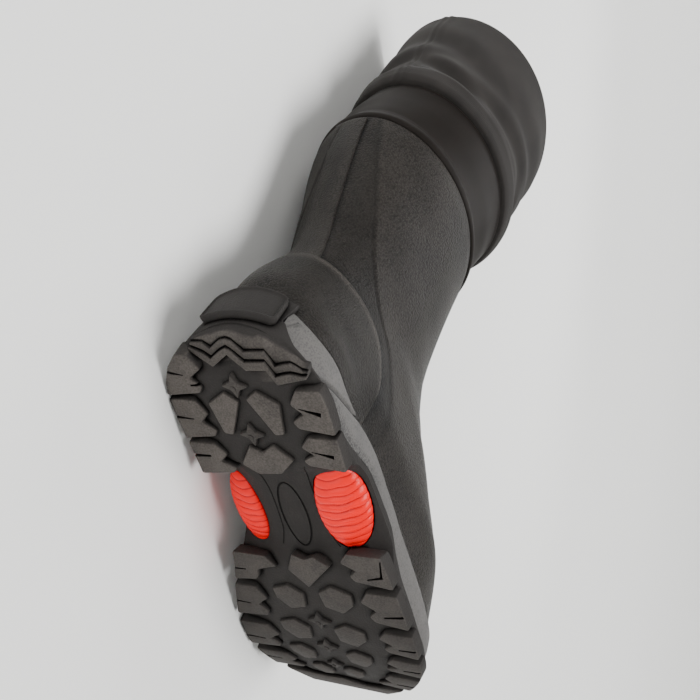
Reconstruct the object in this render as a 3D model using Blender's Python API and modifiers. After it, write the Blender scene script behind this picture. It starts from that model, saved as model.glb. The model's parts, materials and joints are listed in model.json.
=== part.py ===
"""Right boot of a pair of chest waders, lying on its medial side.

All shaping is done in the boot's own frame in millimetres: x from the heel back to the toe,
y to the medial side, z up from the tread. An empty then lays the boot on its side.
"""
import math

import bmesh
import bpy
from mathutils import Matrix, Vector

MM = 0.001
GAP = 0.3

# Sole
SOLE_LENGTH = 300.0
HEEL_ROUND = 40.0
TOE_ROUND = 78.0
TOE_POWER = 2.25
SOLE_STATIONS = 34
LUG_EMBED = 2.0
LUG_DRAFT = 0.7
LUG_OVERHANG = 1.6
RIM_WALL = 3.6
UPPER_INSET = RIM_WALL + GAP + 0.8
UPPER_SEAT = 0.7
FOOTBED_THICKNESS = 3.2

# Upper and leg
WALL = 3.0
RING_POINTS = 40
TUBE_POINTS = 32
FOOT_LAST_ROW = 9
COUNTER_THICKNESS = 1.5
STAY_THICKNESS = 1.3
OVERLAY_LIFT = 0.96
BAND_WALL = 2.6
LEG_WALL = 5.0

# Plan of the sole: station x, centre line y, half width
SOLE_PLAN = [
    (0.0, 0.0, 42.5),
    (45.0, 0.0, 43.5),
    (85.0, -1.0, 42.5),
    (120.0, -2.5, 43.0),
    (150.0, -2.5, 46.0),
    (185.0, 0.5, 52.0),
    (215.0, 4.0, 56.5),
    (245.0, 7.0, 57.5),
    (270.0, 9.5, 55.0),
    (300.0, 12.0, 50.0),
]

# Side profile of the sole: station x, plate bottom, lower side edge, outsole top, footbed, rim top,
# share of the half width that is flat
SOLE_PROFILE = [
    (0.0, 13.0, 14.5, 17.0, 29.0, 38.5, 0.90),
    (12.0, 8.5, 10.0, 13.0, 27.5, 37.5, 0.92),
    (28.0, 5.5, 7.0, 10.5, 27.0, 37.0, 0.93),
    (60.0, 5.5, 7.5, 13.0, 27.0, 38.0, 0.93),
    (81.0, 6.0, 9.0, 17.0, 27.6, 39.0, 0.88),
    (91.0, 7.4, 16.0, 21.5, 28.4, 39.0, 0.52),
    (104.0, 8.4, 19.5, 24.0, 28.8, 38.6, 0.42),
    (130.0, 8.6, 20.0, 24.5, 28.6, 37.8, 0.42),
    (148.0, 8.0, 18.2, 23.0, 27.0, 37.0, 0.47),
    (162.0, 6.2, 9.5, 16.5, 23.5, 36.0, 0.85),
    (185.0, 5.5, 7.2, 13.5, 20.5, 35.0, 0.93),
    (205.0, 5.8, 7.5, 13.5, 20.0, 35.0, 0.93),
    (230.0, 8.0, 9.8, 15.8, 21.5, 36.8, 0.93),
    (255.0, 12.5, 14.2, 20.0, 25.0, 41.0, 0.93),
    (280.0, 19.5, 21.0, 26.5, 31.0, 47.5, 0.92),
    (300.0, 26.0, 27.5, 32.5, 36.5, 53.5, 0.90),
]

# Section of the midsole's side: inset from the sole's edge, level, rise above that level
MIDSOLE_SECTION = [
    (9.0, "bottom", 0.0),
    (0.4, "bottom", 0.0),
    (1.1, "waist", 0.0),
    (0.8, "rim", -1.2),
    (1.4, "rim", 0.0),
    (RIM_WALL, "rim", 0.0),
    (RIM_WALL, "floor", 0.0),
]

# Toe spring of the tread: station x, height
TOE_SPRING = [
    (0.0, 0.0),
    (195.0, 0.0),
    (230.0, 2.5),
    (255.0, 7.0),
    (280.0, 14.0),
    (300.0, 20.5),
]

# Side lugs: side (1 medial, -1 lateral), rear x, front x, inner y at the rear, inner y at the front
SIDE_LUGS = [
    (1, 11.0, 36.5, 19.0, 21.5),
    (1, 39.5, 65.0, 24.0, 22.5),
    (1, 68.5, 90.0, 22.0, 19.5),
    (-1, 29.5, 55.5, -25.0, -23.5),
    (-1, 59.0, 79.5, -23.5, -22.5),
    (1, 147.0, 174.0, 17.0, 33.0),
    (1, 181.0, 209.0, 33.5, 36.0),
    (1, 218.0, 244.0, 37.0, 40.0),
    (1, 251.0, 270.0, 36.0, 33.0),
    (-1, 136.0, 165.0, -23.0, -27.0),
    (-1, 171.0, 197.5, -28.5, -31.5),
    (-1, 204.5, 226.0, -32.0, -33.0),
    (-1, 232.0, 249.0, -30.0, -28.0),
    (-1, 255.0, 274.0, -22.0, -15.0),
]

# Outlines of the middle lugs about their own centres, medial hand
KITE = [(-14.0, -3.0), (-8.5, -10.0), (13.4, 0.0), (12.6, 5.0), (-6.5, 8.0)]
HEX = [(-9.5, -1.0), (-3.5, -9.8), (7.5, -8.5), (10.8, 2.0), (3.0, 9.5), (-5.0, 10.0)]
CHEVRON = [(-4.5, 0.0), (-10.5, -7.5), (-1.0, -16.5), (9.0, -7.0), (10.5, 6.5), (4.5, 15.0), (-8.5, 6.5)]
ARROW = [(-9.0, 0.5), (-12.5, -6.0), (-5.5, -14.5), (15.0, 3.5), (1.5, 13.5), (-12.5, 7.5)]
STAR = [(7.2, 0.0), (2.2, 2.2), (0.0, 7.2), (-2.2, 2.2),
        (-7.2, 0.0), (-2.2, -2.2), (0.0, -7.2), (2.2, -2.2)]

# Middle lugs: outline, centre x, centre y, hand, size
MIDDLE_LUGS = [
    (STAR, 29.5, 2.5, 1, 1.0),
    (STAR, 60.5, 2.5, 1, 1.0),
    (KITE, 48.0, 13.5, 1, 1.0),
    (KITE, 46.0, -11.5, -1, 1.0),
    (CHEVRON, 77.0, 0.0, 1, 1.0),
    (ARROW, 156.5, -2.0, 1, 1.0),
    (HEX, 185.0, 17.0, 1, 1.0),
    (HEX, 181.5, -13.5, -1, 1.05),
    (STAR, 204.5, 3.5, 1, 1.05),
    (HEX, 216.5, 22.0, 1, 1.0),
    (HEX, 214.0, -14.0, -1, 1.0),
    (STAR, 231.0, 6.0, 1, 1.0),
    (HEX, 243.0, 26.5, 1, 0.85),
    (HEX, 240.0, -12.5, -1, 0.85),
    (STAR, 254.0, 8.5, 1, 0.8),
    (HEX, 264.5, 20.0, 1, 0.7),
    (HEX, 262.5, -1.5, -1, 0.7),
]

# Zigzag front of the heel's crash pad, from the medial to the lateral end: x, y
CRASH_FRONT = [
    (9.5, 18.0),
    (17.5, 11.0),
    (9.5, 1.0),
    (19.0, -7.5),
    (18.5, -18.5),
    (27.0, -22.5),
    (27.5, -33.0),
]
CRASH_STEP = 4.6
CRASH_RISE = 1.9

# Plain oval on the shank: centre x, centre y, half length, half width, groove width and depth
OVAL = (123.5, -0.5, 23.5, 7.8, 1.2, 1.0)

# Arch pads: side, centre x, share of the slope from flat to edge, half length, half width, half depth
PODS = {
    "pod_medial": (1, 127.0, 0.60, 28.0, 13.4, 5.0),
    "pod_lateral": (-1, 119.5, 0.42, 30.0, 15.0, 5.6),
}
POD_RIBS = 12
POD_RIB_RISE = 0.55
POD_SIDES = 9

# Kick tab on the heel back: half span along the outline, levels, thickness and its raised frame
TAB_SPAN = 0.092
TAB_BOTTOM = 16.0
TAB_TOP = 43.5
TAB_THICKNESS = 5.4
TAB_FRAME_STEP = 0.9
TAB_FRAME_WIDTH = 2.4
RISER_SPAN = 0.088

# Upper, a row for each ring above the rim: rear x, rear z, front x, front z, half width at heel,
# waist and ball, fullness of the ring's ends, share of the sole's toe-in
UPPER_ROWS = [
    (1.5, 52.0, 291.5, 62.5, 43.0, 44.0, 54.5, 2.55, 1.0),
    (2.5, 64.0, 283.0, 70.5, 43.0, 44.0, 51.0, 2.45, 1.0),
    (6.0, 77.0, 262.0, 77.0, 42.0, 43.0, 47.0, 2.35, 0.9),
    (10.0, 89.0, 236.0, 84.0, 40.2, 42.0, 43.5, 2.25, 0.75),
    (11.5, 100.0, 211.0, 93.0, 38.8, 41.0, 41.0, 2.15, 0.55),
    (11.0, 111.0, 188.0, 105.0, 38.2, 40.0, 39.5, 2.1, 0.35),
    (9.0, 123.0, 170.0, 119.0, 38.8, 40.0, 39.5, 2.05, 0.2),
    (4.5, 138.0, 157.0, 137.0, 40.8, 41.5, 40.5, 2.0, 0.1),
    (-1.5, 156.0, 148.0, 158.0, 44.0, 44.5, 43.5, 2.0, 0.0),
    (-9.5, 179.0, 139.5, 184.0, 48.0, 48.5, 47.5, 2.0, 0.0),
    (-16.0, 203.0, 133.0, 211.0, 51.5, 52.0, 51.5, 2.0, 0.0),
]

# Heel counter: ring row of its bottom, of its top at the back, of its top at the front, half angle
COUNTER_BOTTOM = 1.12
COUNTER_TOP_BACK = 5.05
COUNTER_TOP_FRONT = 1.3
COUNTER_ANGLE = math.radians(62.0)
COUNTER_CURVE = 11.0

# Strip up the back of the shaft: lowest row, half angle
STAY_BOTTOM = COUNTER_TOP_BACK + 0.12
STAY_ANGLE = math.radians(12.5)

# Band and leg, a row for each ring: rear x, rear z, front x, front z, half width
BAND_ROWS = [
    (-14.6, 204.0, 131.6, 212.0, 50.6),
    (-14.2, 222.0, 132.6, 230.0, 51.0),
    (-12.2, 245.0, 135.6, 253.0, 52.4),
    (-9.0, 266.0, 139.6, 274.0, 54.2),
]
LEG_ROWS = [
    (-8.6, 266.6, 139.2, 274.6, 53.8),
    (-11.6, 267.6, 141.6, 275.6, 56.6),
    (-13.6, 273.0, 144.0, 281.0, 58.4),
    (-13.4, 281.0, 145.0, 289.0, 58.8),
    (-10.8, 289.0, 143.6, 297.0, 57.2),
    (-9.4, 297.0, 143.0, 305.0, 56.6),
    (-10.2, 313.0, 145.6, 321.0, 57.6),
    (-11.4, 335.0, 148.6, 343.0, 59.0),
    (-11.8, 358.0, 150.8, 366.0, 60.0),
    (-11.6, 380.0, 152.4, 388.0, 60.4),
]
LEG_WAVE = 1.6

# Densities in kg/m3, used to find how the boot comes to rest
DENSITY = {"rubber": 1150.0, "foam": 300.0, "neoprene": 250.0}

MATERIALS = {
    "black_rubber": ((0.030, 0.028, 0.027, 1.0), 0.62),
    "grey_foam_rubber": ((0.165, 0.170, 0.175, 1.0), 0.60),
    "red_rubber": ((0.72, 0.045, 0.040, 1.0), 0.32),
    "boot_rubber": ((0.040, 0.036, 0.034, 1.0), 0.55),
    "band_rubber": ((0.034, 0.031, 0.030, 1.0), 0.45),
    "neoprene": ((0.060, 0.060, 0.055, 1.0), 0.85),
    "footbed_foam": ((0.045, 0.045, 0.047, 1.0), 0.90),
}


def blend(rows, at):
    """Smooth values between the rows of a table, first column as the place."""
    if at <= rows[0][0]:
        return rows[0][1:]
    if at >= rows[-1][0]:
        return rows[-1][1:]
    last = len(rows) - 1
    k = next(i for i in range(last) if rows[i + 1][0] >= at)
    span = rows[k + 1][0] - rows[k][0]
    t = (at - rows[k][0]) / span

    def slope(i, c):
        before = (rows[i][c] - rows[i - 1][c]) / (rows[i][0] - rows[i - 1][0]) if i > 0 else None
        after = (rows[i + 1][c] - rows[i][c]) / (rows[i + 1][0] - rows[i][0]) if i < last else None
        if before is None:
            return after
        if after is None:
            return before
        if before * after <= 0.0:
            return 0.0
        return 2.0 * before * after / (before + after)

    values = []
    for c in range(1, len(rows[0])):
        a, b = rows[k][c], rows[k + 1][c]
        ma, mb = slope(k, c) * span, slope(k + 1, c) * span
        h00 = (1 + 2 * t) * (1 - t) ** 2
        h10 = t * (1 - t) ** 2
        h01 = t * t * (3 - 2 * t)
        h11 = t * t * (t - 1)
        values.append(h00 * a + h10 * ma + h01 * b + h11 * mb)
    return tuple(values)


def end_round(x):
    """Share of the half width left by the round of the heel and the toe."""
    if x < HEEL_ROUND:
        k = 1.0 - x / HEEL_ROUND
        return math.sqrt(max(0.0, 1.0 - k * k))
    if x > SOLE_LENGTH - TOE_ROUND:
        k = (x - SOLE_LENGTH + TOE_ROUND) / TOE_ROUND
        return max(0.0, 1.0 - k ** TOE_POWER) ** (1.0 / TOE_POWER)
    return 1.0


def sole_edge(u, side, inset=0.0):
    """Plan point of the sole's edge; u runs from the heel back (0) to the toe tip (1)."""
    x = 0.5 * SOLE_LENGTH * (1.0 - math.cos(math.pi * u))
    centre, half = blend(SOLE_PLAN, x)
    y = centre + side * (half - inset) * end_round(x)
    return inset + x * (SOLE_LENGTH - 2.0 * inset) / SOLE_LENGTH, y


def station_at(x):
    """Station u of a plain x along the sole."""
    return math.acos(max(-1.0, min(1.0, 1.0 - 2.0 * x / SOLE_LENGTH))) / math.pi


def edge_y(x, side, inset=0.0):
    """Sole edge y at a plain x."""
    share = max(0.0, min(SOLE_LENGTH, (x - inset) * SOLE_LENGTH / (SOLE_LENGTH - 2.0 * inset)))
    return sole_edge(station_at(share), side, inset)[1]


def profile(x):
    """Side profile of the sole at x as a small dictionary."""
    names = ("plate", "side", "top", "floor", "rim", "flat")
    return dict(zip(names, blend(SOLE_PROFILE, x)))


def spring(x):
    """Toe spring of the tread at x."""
    return blend(TOE_SPRING, x)[0]


def material(name):
    """Principled material of one sub-part."""
    mat = bpy.data.materials.get(name)
    if mat is None:
        mat = bpy.data.materials.new(name)
        mat.use_nodes = True
        shader = mat.node_tree.nodes["Principled BSDF"]
        colour, roughness = MATERIALS[name]
        shader.inputs["Base Color"].default_value = colour
        shader.inputs["Roughness"].default_value = roughness
        mat.diffuse_color = colour
    return mat


def make_object(name, bm, mat, collection, parent, smooth=True):
    """Turn a mesh in millimetres into a named object under the boot's empty."""
    bmesh.ops.recalc_face_normals(bm, faces=bm.faces)
    bmesh.ops.scale(bm, vec=(MM, MM, MM), verts=bm.verts)
    mesh = bpy.data.meshes.new(name)
    bm.to_mesh(mesh)
    bm.free()
    for face in mesh.polygons:
        face.use_smooth = smooth
    mesh.materials.append(material(mat))
    obj = bpy.data.objects.new(name, mesh)
    obj.parent = parent
    collection.objects.link(obj)
    return obj


def loft(rings, closed=True, capped=True):
    """Mesh through rings of equal point counts."""
    bm = bmesh.new()
    loops = [[bm.verts.new(point) for point in ring] for ring in rings]
    count = len(loops[0])
    steps = count if closed else count - 1
    for low, high in zip(loops, loops[1:]):
        for i in range(steps):
            j = (i + 1) % count
            bm.faces.new((low[i], low[j], high[j], high[i]))
    if capped:
        bm.faces.new(loops[0])
        bm.faces.new(list(reversed(loops[-1])))
    return bm


def sealed(rings):
    """Mesh through sections that close to a line at the heel back and the toe tip."""
    bm = loft(rings, capped=False)
    bmesh.ops.remove_doubles(bm, verts=bm.verts, dist=0.001)
    return bm


def sole_stations():
    """Even steps of u from the heel back to the toe tip."""
    return [i / (SOLE_STATIONS - 1) for i in range(SOLE_STATIONS)]


def outsole_rings():
    """Sections of the outsole's plate: flat middle, sloped side, side wall and ledge."""
    rings = []
    for u in sole_stations():
        x, _ = sole_edge(u, 1)
        row = profile(x)
        centre = blend(SOLE_PLAN, x)[0]
        ring = []
        for side, order in ((1, 1), (-1, -1)):
            edge = sole_edge(u, side)[1] - centre
            flat = edge * row["flat"]
            points = [
                (x, centre + flat, row["plate"]),
                (x, centre + edge, row["side"]),
                (x, centre + edge, row["top"]),
                (x, centre + edge * 0.82, row["top"]),
            ]
            ring += points if order == 1 else list(reversed(points))
        rings.append(ring)
    return rings


def prism(bm, outline, foot, head, draft):
    """Raised block: an outline at the plate, pulled out to the tread with a draft."""
    cx = sum(p[0] for p in outline) / len(outline)
    cy = sum(p[1] for p in outline) / len(outline)
    verts = []
    for x, y in outline:
        reach = math.hypot(x - cx, y - cy)
        grow = (reach + draft) / reach
        verts.append(bm.verts.new((cx + (x - cx) * grow, cy + (y - cy) * grow, foot(x))))
    face = bm.faces.new(verts)
    pulled = bmesh.ops.extrude_face_region(bm, geom=[face], use_keep_orig=True)["geom"]
    moved = [v for v in pulled if isinstance(v, bmesh.types.BMVert)]
    for vert in moved:
        near = min(outline, key=lambda p: (p[0] - vert.co.x) ** 2 + (p[1] - vert.co.y) ** 2)
        vert.co = Vector((near[0], near[1], head(near[0])))


def plate_foot(x):
    """Height inside the plate where a lug starts."""
    return profile(x)["plate"] + LUG_EMBED


def side_lug_outline(side, rear, front, inner_rear, inner_front):
    """Side lug in plan: outer edge along the sole, inner edge with a notch between two teeth."""
    length = front - rear
    outer = []
    for share in (0.0, 0.35, 0.7, 1.0):
        x = rear + length * share
        lean = 1.0 + 0.04 * length * (share - 0.5)
        outer.append((x + lean, edge_y(x, side) + side * LUG_OVERHANG))
    mid_y = 0.5 * (inner_rear + inner_front)
    inner = [
        (front - 0.05 * length, inner_front + side * 2.5),
        (front - 0.22 * length, inner_front),
        (rear + 0.58 * length, mid_y + side * 6.5),
        (rear + 0.36 * length, inner_rear),
        (rear + 0.02 * length, inner_rear + side * 5.5),
    ]
    return outer + inner


def lugs_mesh():
    """All side and middle lugs, and the toe lug round the tip."""
    bm = bmesh.new()
    for row in SIDE_LUGS:
        prism(bm, side_lug_outline(*row), plate_foot, spring, LUG_DRAFT)
    for outline, cx, cy, hand, size in MIDDLE_LUGS:
        points = [(cx + size * px, cy + size * hand * py) for px, py in outline]
        prism(bm, points, plate_foot, spring, LUG_DRAFT)
    tip = []
    for side, near, far in ((1, 276.0, 292.0), (-1, 280.0, 292.0)):
        points = [(near, edge_y(near, side) + side * 0.6), (far, edge_y(far, side) + side * 0.6)]
        tip += points if side == 1 else list(reversed(points))
    tip += [(283.0, -2.0), (277.0, 12.0), (279.0, 24.0)]
    prism(bm, tip, plate_foot, spring, 0.3)
    return bm


def crash_pad_mesh():
    """Stepped pad at the heel back: a zigzag front and two steps that rise to the rear."""
    rings = []
    for x, y in CRASH_FRONT:
        share = abs(y) / 42.5
        rear = HEEL_ROUND * (1.0 - math.sqrt(max(0.0, 1.0 - share * share))) + 0.8
        room = max(3.0, x - rear)
        step = min(CRASH_STEP, room * 0.3)
        back = x - 3.0 * step - 1.2
        rings.append([
            (x, y, 8.0),
            (x, y, 0.0),
            (x - step, y, 0.3),
            (x - step - 0.6, y, CRASH_RISE),
            (x - 2.0 * step, y, CRASH_RISE + 0.4),
            (x - 2.0 * step - 0.6, y, 2.0 * CRASH_RISE + 0.2),
            (min(back, x - 2.0 * step - 1.0), y, 2.0 * CRASH_RISE + 0.6),
            (min(rear, x - 2.0 * step - 1.4), y, 9.6),
            (min(rear, x - 2.0 * step - 1.4), y, profile(rear)["top"] - 1.0),
        ])
    return loft(rings)


def band_mesh(span, outer, inner, low, high, steps):
    """Wall round the heel back between two insets of the sole's outline."""
    rings = []
    for i in range(steps + 1):
        s = -span + 2.0 * span * i / steps
        side = 1 if s >= 0.0 else -1
        ox, oy = sole_edge(abs(s), side, outer)
        ix, iy = sole_edge(abs(s), side, inner)
        rings.append([(ox, oy, low), (ox, oy, high), (ix, iy, high), (ix, iy, low)])
    return loft(rings)


def kick_tab_mesh():
    """Framed ledge round the heel back, thicker at its foot."""
    border = 0.90
    places = [-1.0, -0.93, -border, -0.6, -0.3, 0.0, 0.3, 0.6, border, 0.93, 1.0]
    rings = []
    for place in places:
        s = TAB_SPAN * place
        side = 1 if s >= 0.0 else -1
        sunk = TAB_FRAME_STEP if abs(place) <= border else 0.0
        crown = 4.0 * (1.0 - abs(place)) if abs(place) < 0.95 else 0.0
        top = TAB_TOP - 4.0 + min(4.0, crown * 3.0)
        corner = max(0.0, abs(place) - 0.9) * 10.0
        low = TAB_BOTTOM + corner
        high = top - corner
        width = TAB_FRAME_WIDTH
        section = [
            (TAB_THICKNESS, low),
            (TAB_THICKNESS, low + width),
            (TAB_THICKNESS - sunk, low + width + 0.8),
            (TAB_THICKNESS - sunk - 0.6, high - width - 0.8),
            (TAB_THICKNESS - 0.6, high - width),
            (TAB_THICKNESS - 0.6, high),
        ]
        ring = []
        for reach, z in section:
            x, y = sole_edge(abs(s), side, -reach)
            ring.append((x, y, z))
        x, y = sole_edge(abs(s), side, -GAP)
        ring += [(x, y, high), (x, y, low)]
        rings.append(ring)
    return loft(rings)


def midsole_rings():
    """Sections of the grey cup: bottom on the outsole, outer band, rim and footbed."""
    rings = []
    for u in sole_stations():
        ring = []
        for side in (1, -1):
            points = []
            for inset, level, rise in MIDSOLE_SECTION:
                px, py = sole_edge(u, side, inset)
                if level == "bottom":
                    px, edge = sole_edge(u, side)
                    centre, half = blend(SOLE_PLAN, px)
                    py = centre + (edge - centre) * (1.0 - inset / half)
                row = profile(px)
                bottom = row["top"] + GAP
                heights = {"bottom": bottom, "rim": row["rim"], "floor": row["floor"]}
                heights["waist"] = bottom + 0.45 * (row["rim"] - bottom)
                points.append((px, py, heights[level] + rise))
            ring += points if side == 1 else list(reversed(points))
        rings.append(ring)
    return rings


def insole_rings():
    """Sections of the footbed slab inside the upper."""
    inset = UPPER_INSET + WALL + 1.7
    rings = []
    for u in sole_stations():
        ring = []
        for side in (1, -1):
            px, py = sole_edge(u, side, inset)
            base = profile(px)["floor"] + GAP + 0.15
            points = [(px, py, base), (px, py, base + FOOTBED_THICKNESS)]
            ring += points if side == 1 else list(reversed(points))
        rings.append(ring)
    return rings


def pod_frame(side, x, share):
    """Centre and axes of an arch pad on the sole's sloped side."""
    row = profile(x)
    centre = blend(SOLE_PLAN, x)[0]
    edge = edge_y(x, side) - centre
    flat_point = Vector((x, centre + edge * row["flat"], row["plate"]))
    edge_point = Vector((x, centre + edge, row["side"]))
    along = Vector((1.0, 0.0, 0.0))
    across = (edge_point - flat_point).normalized()
    outward = across.cross(along) if side == 1 else along.cross(across)
    if outward.z > 0.0:
        outward = -outward
    middle = flat_point.lerp(edge_point, share)
    return middle, along, across, outward


def pod_mesh(side, x, share, length, width, depth, grow, ribs):
    """Oval pad: a ball scaled to its half sizes, with rounded ribs across it, or its plain pocket."""
    middle, along, across, outward = pod_frame(side, x, share)
    rings = []
    count = 3 * POD_RIBS + 2 if ribs else 14
    for i in range(1, count):
        t = math.pi * i / count
        u = -math.cos(t)
        rise = ribs * math.sin(math.pi * POD_RIBS * (u + 1.0) / 2.0) ** 2
        ring = []
        for k in range(POD_SIDES):
            a = 2.0 * math.pi * k / POD_SIDES
            out = max(0.0, math.sin(a))
            round_off = math.sin(t)
            point = middle + along * u * (length + grow)
            point = point + across * (math.cos(a) * round_off * (width + grow))
            point = point + outward * (math.sin(a) * round_off * (depth + grow) + rise * out * round_off)
            ring.append(point)
        rings.append(ring)
    return loft(rings)


def ring_point(row, phi):
    """Point of one of the upper's rings; phi is 0 at the toe and runs to the medial side."""
    turn = math.atan2(math.sin(phi), math.cos(phi))
    side = 1 if turn >= 0.0 else -1
    if row < 2:
        u = 1.0 - abs(turn) / math.pi
        x, y = sole_edge(u, side, UPPER_INSET)
        line = profile(x)
        z = line["floor"] + UPPER_SEAT if row == 0 else line["rim"] + 1.0
        return Vector((x, y, z))
    rear_x, rear_z, front_x, front_z, heel, waist, ball, full, toe_in = UPPER_ROWS[row - 2]
    s = 0.5 * (1.0 + math.cos(turn))
    x = rear_x + (front_x - rear_x) * s
    z = rear_z + (front_z - rear_z) * s
    width = blend([(0.0, heel), (0.18, heel), (0.45, waist), (0.75, ball), (1.0, ball)], s)[0]
    end = max(0.0, 1.0 - abs(2.0 * s - 1.0) ** full) ** (1.0 / full)
    swing = blend(SOLE_PLAN, x)[0] * toe_in
    return Vector((x, swing + side * width * end, z))


LAST_ROW = len(UPPER_ROWS) + 1


def upper_point(v, phi):
    """Point of the upper's outer face at ring row v and angle phi."""
    v = max(0.0, min(float(LAST_ROW), v))
    k = min(int(v), LAST_ROW - 1)
    t = v - k
    a = ring_point(k, phi)
    b = ring_point(k + 1, phi)
    if k == 0:
        return a.lerp(b, t)
    before = ring_point(k - 1, phi) if k > 1 else a * 2.0 - b
    after = ring_point(k + 2, phi) if k + 2 <= LAST_ROW else b * 2.0 - a
    ma = (b - before) * 0.5
    mb = (after - a) * 0.5
    h00 = (1 + 2 * t) * (1 - t) ** 2
    h10 = t * (1 - t) ** 2
    h01 = t * t * (3 - 2 * t)
    h11 = t * t * (t - 1)
    return a * h00 + ma * h10 + b * h01 + mb * h11


def upper_normal(v, phi):
    """Outward normal of the upper's outer face."""
    dv = upper_point(min(LAST_ROW, v + 0.05), phi) - upper_point(max(0.0, v - 0.05), phi)
    dp = upper_point(v, phi + 0.02) - upper_point(v, phi - 0.02)
    normal = dp.cross(dv).normalized()
    out = upper_point(v, phi) - upper_point(v, phi + math.pi)
    return normal if normal.dot(out) > 0.0 else -normal


def ring_angles(count):
    """Angles round a ring, from the toe."""
    return [2.0 * math.pi * i / count for i in range(count)]


def upper_mesh():
    """Outer face of the boot foot and shaft, open underneath and at the top."""
    rows = [0.0, 1.0]
    rows += [1.0 + 0.5 * i for i in range(1, 2 * FOOT_LAST_ROW - 1)]
    rows += [float(i) for i in range(FOOT_LAST_ROW + 1, LAST_ROW + 1)]
    rings = [[upper_point(v, phi) for phi in ring_angles(RING_POINTS)] for v in rows]
    return loft(rings, capped=False)


def overlay_mesh(rows, cols, row_at, angle_at, thickness):
    """Raised piece cut from the upper's own face: an inner and an outer sheet joined round the rim."""
    bm = bmesh.new()
    sheets = []
    for lift in (OVERLAY_LIFT, OVERLAY_LIFT + thickness):
        sheet = []
        for i in range(rows + 1):
            line = []
            for j in range(cols + 1):
                b = 2.0 * j / cols - 1.0
                v = row_at(i / rows, b)
                phi = angle_at(i / rows, b)
                line.append(bm.verts.new(upper_point(v, phi) + upper_normal(v, phi) * lift))
            sheet.append(line)
        sheets.append(sheet)
    for sheet in sheets:
        for i in range(rows):
            for j in range(cols):
                bm.faces.new((sheet[i][j], sheet[i][j + 1], sheet[i + 1][j + 1], sheet[i + 1][j]))
    inner, outer = sheets
    for i in range(rows):
        for j in (0, cols):
            bm.faces.new((inner[i][j], inner[i + 1][j], outer[i + 1][j], outer[i][j]))
    for j in range(cols):
        for i in (0, rows):
            bm.faces.new((inner[i][j], inner[i][j + 1], outer[i][j + 1], outer[i][j]))
    return bm


def counter_mesh():
    """Heel counter: level round the back, then falling steeply to the midsole at both sides."""

    def spread(b):
        return math.sin(0.5 * math.pi * b)

    def row_at(share, b):
        fall = math.sqrt(max(0.0, 1.0 - abs(spread(b)) ** COUNTER_CURVE))
        top = COUNTER_TOP_FRONT + (COUNTER_TOP_BACK - COUNTER_TOP_FRONT) * fall
        return COUNTER_BOTTOM + (top - COUNTER_BOTTOM) * share

    def angle_at(share, b):
        return math.pi + spread(b) * COUNTER_ANGLE

    return overlay_mesh(8, 18, row_at, angle_at, COUNTER_THICKNESS)


def stay_mesh():
    """Raised strip up the back of the shaft."""

    def row_at(share, b):
        return STAY_BOTTOM + (LAST_ROW - 0.02 - STAY_BOTTOM) * share

    return overlay_mesh(14, 4, row_at, lambda share, b: math.pi + b * STAY_ANGLE, STAY_THICKNESS)


def oval_rings(rows, points, wave):
    """Oval rings of the band and the leg, with a slack wave in the leg."""
    rings = []
    for rear_x, rear_z, front_x, front_z, width in rows:
        rise = max(0.0, min(1.0, (rear_z - rows[0][1]) / 12.0))
        length = 0.5 * (front_x - rear_x)
        ring = []
        for a in ring_angles(points):
            slack = wave * rise * math.sin(3.0 * a + 0.02 * rear_z) * 0.6
            slack += wave * rise * math.sin(2.0 * a + 1.3) * 0.4
            x = 0.5 * (front_x + rear_x) + (length + slack) * math.cos(a)
            z = 0.5 * (front_z + rear_z) + 0.5 * (front_z - rear_z) * math.cos(a)
            ring.append((x, (width + slack) * math.sin(a), z))
        rings.append(ring)
    return rings


def solidify(obj, thickness):
    """Wall inside an open face."""
    mod = obj.modifiers.new("wall", "SOLIDIFY")
    mod.thickness = thickness * MM
    mod.offset = -1.0
    mod.use_even_offset = True
    mod.use_rim = True


def boolean(obj, cutter, operation):
    """Exact union or cut with another form."""
    mod = obj.modifiers.new(cutter.name, "BOOLEAN")
    mod.operation = operation
    mod.solver = "EXACT"
    mod.object = cutter


def oval_groove_mesh():
    """Ring-shaped cutter for the groove round the plain oval on the shank."""
    cx, cy, length, width, breadth, depth = OVAL
    rings = []
    for a in ring_angles(28):
        ring = []
        for inset, z in ((0.0, -3.0), (0.0, depth), (breadth, depth), (breadth, -3.0)):
            x = cx + (length - inset) * math.cos(a)
            y = cy + (width - inset) * math.sin(a)
            ring.append((x, y, profile(x)["plate"] + z))
        rings.append(ring)
    rings.append(rings[0])
    bm = loft(rings, capped=False)
    bmesh.ops.remove_doubles(bm, verts=bm.verts, dist=0.001)
    return bm


def mesh_of(obj, depsgraph):
    """Finished mesh of an object in the boot's frame."""
    evaluated = obj.evaluated_get(depsgraph)
    bm = bmesh.new()
    bm.from_mesh(evaluated.to_mesh())
    evaluated.to_mesh_clear()
    return bm


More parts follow.
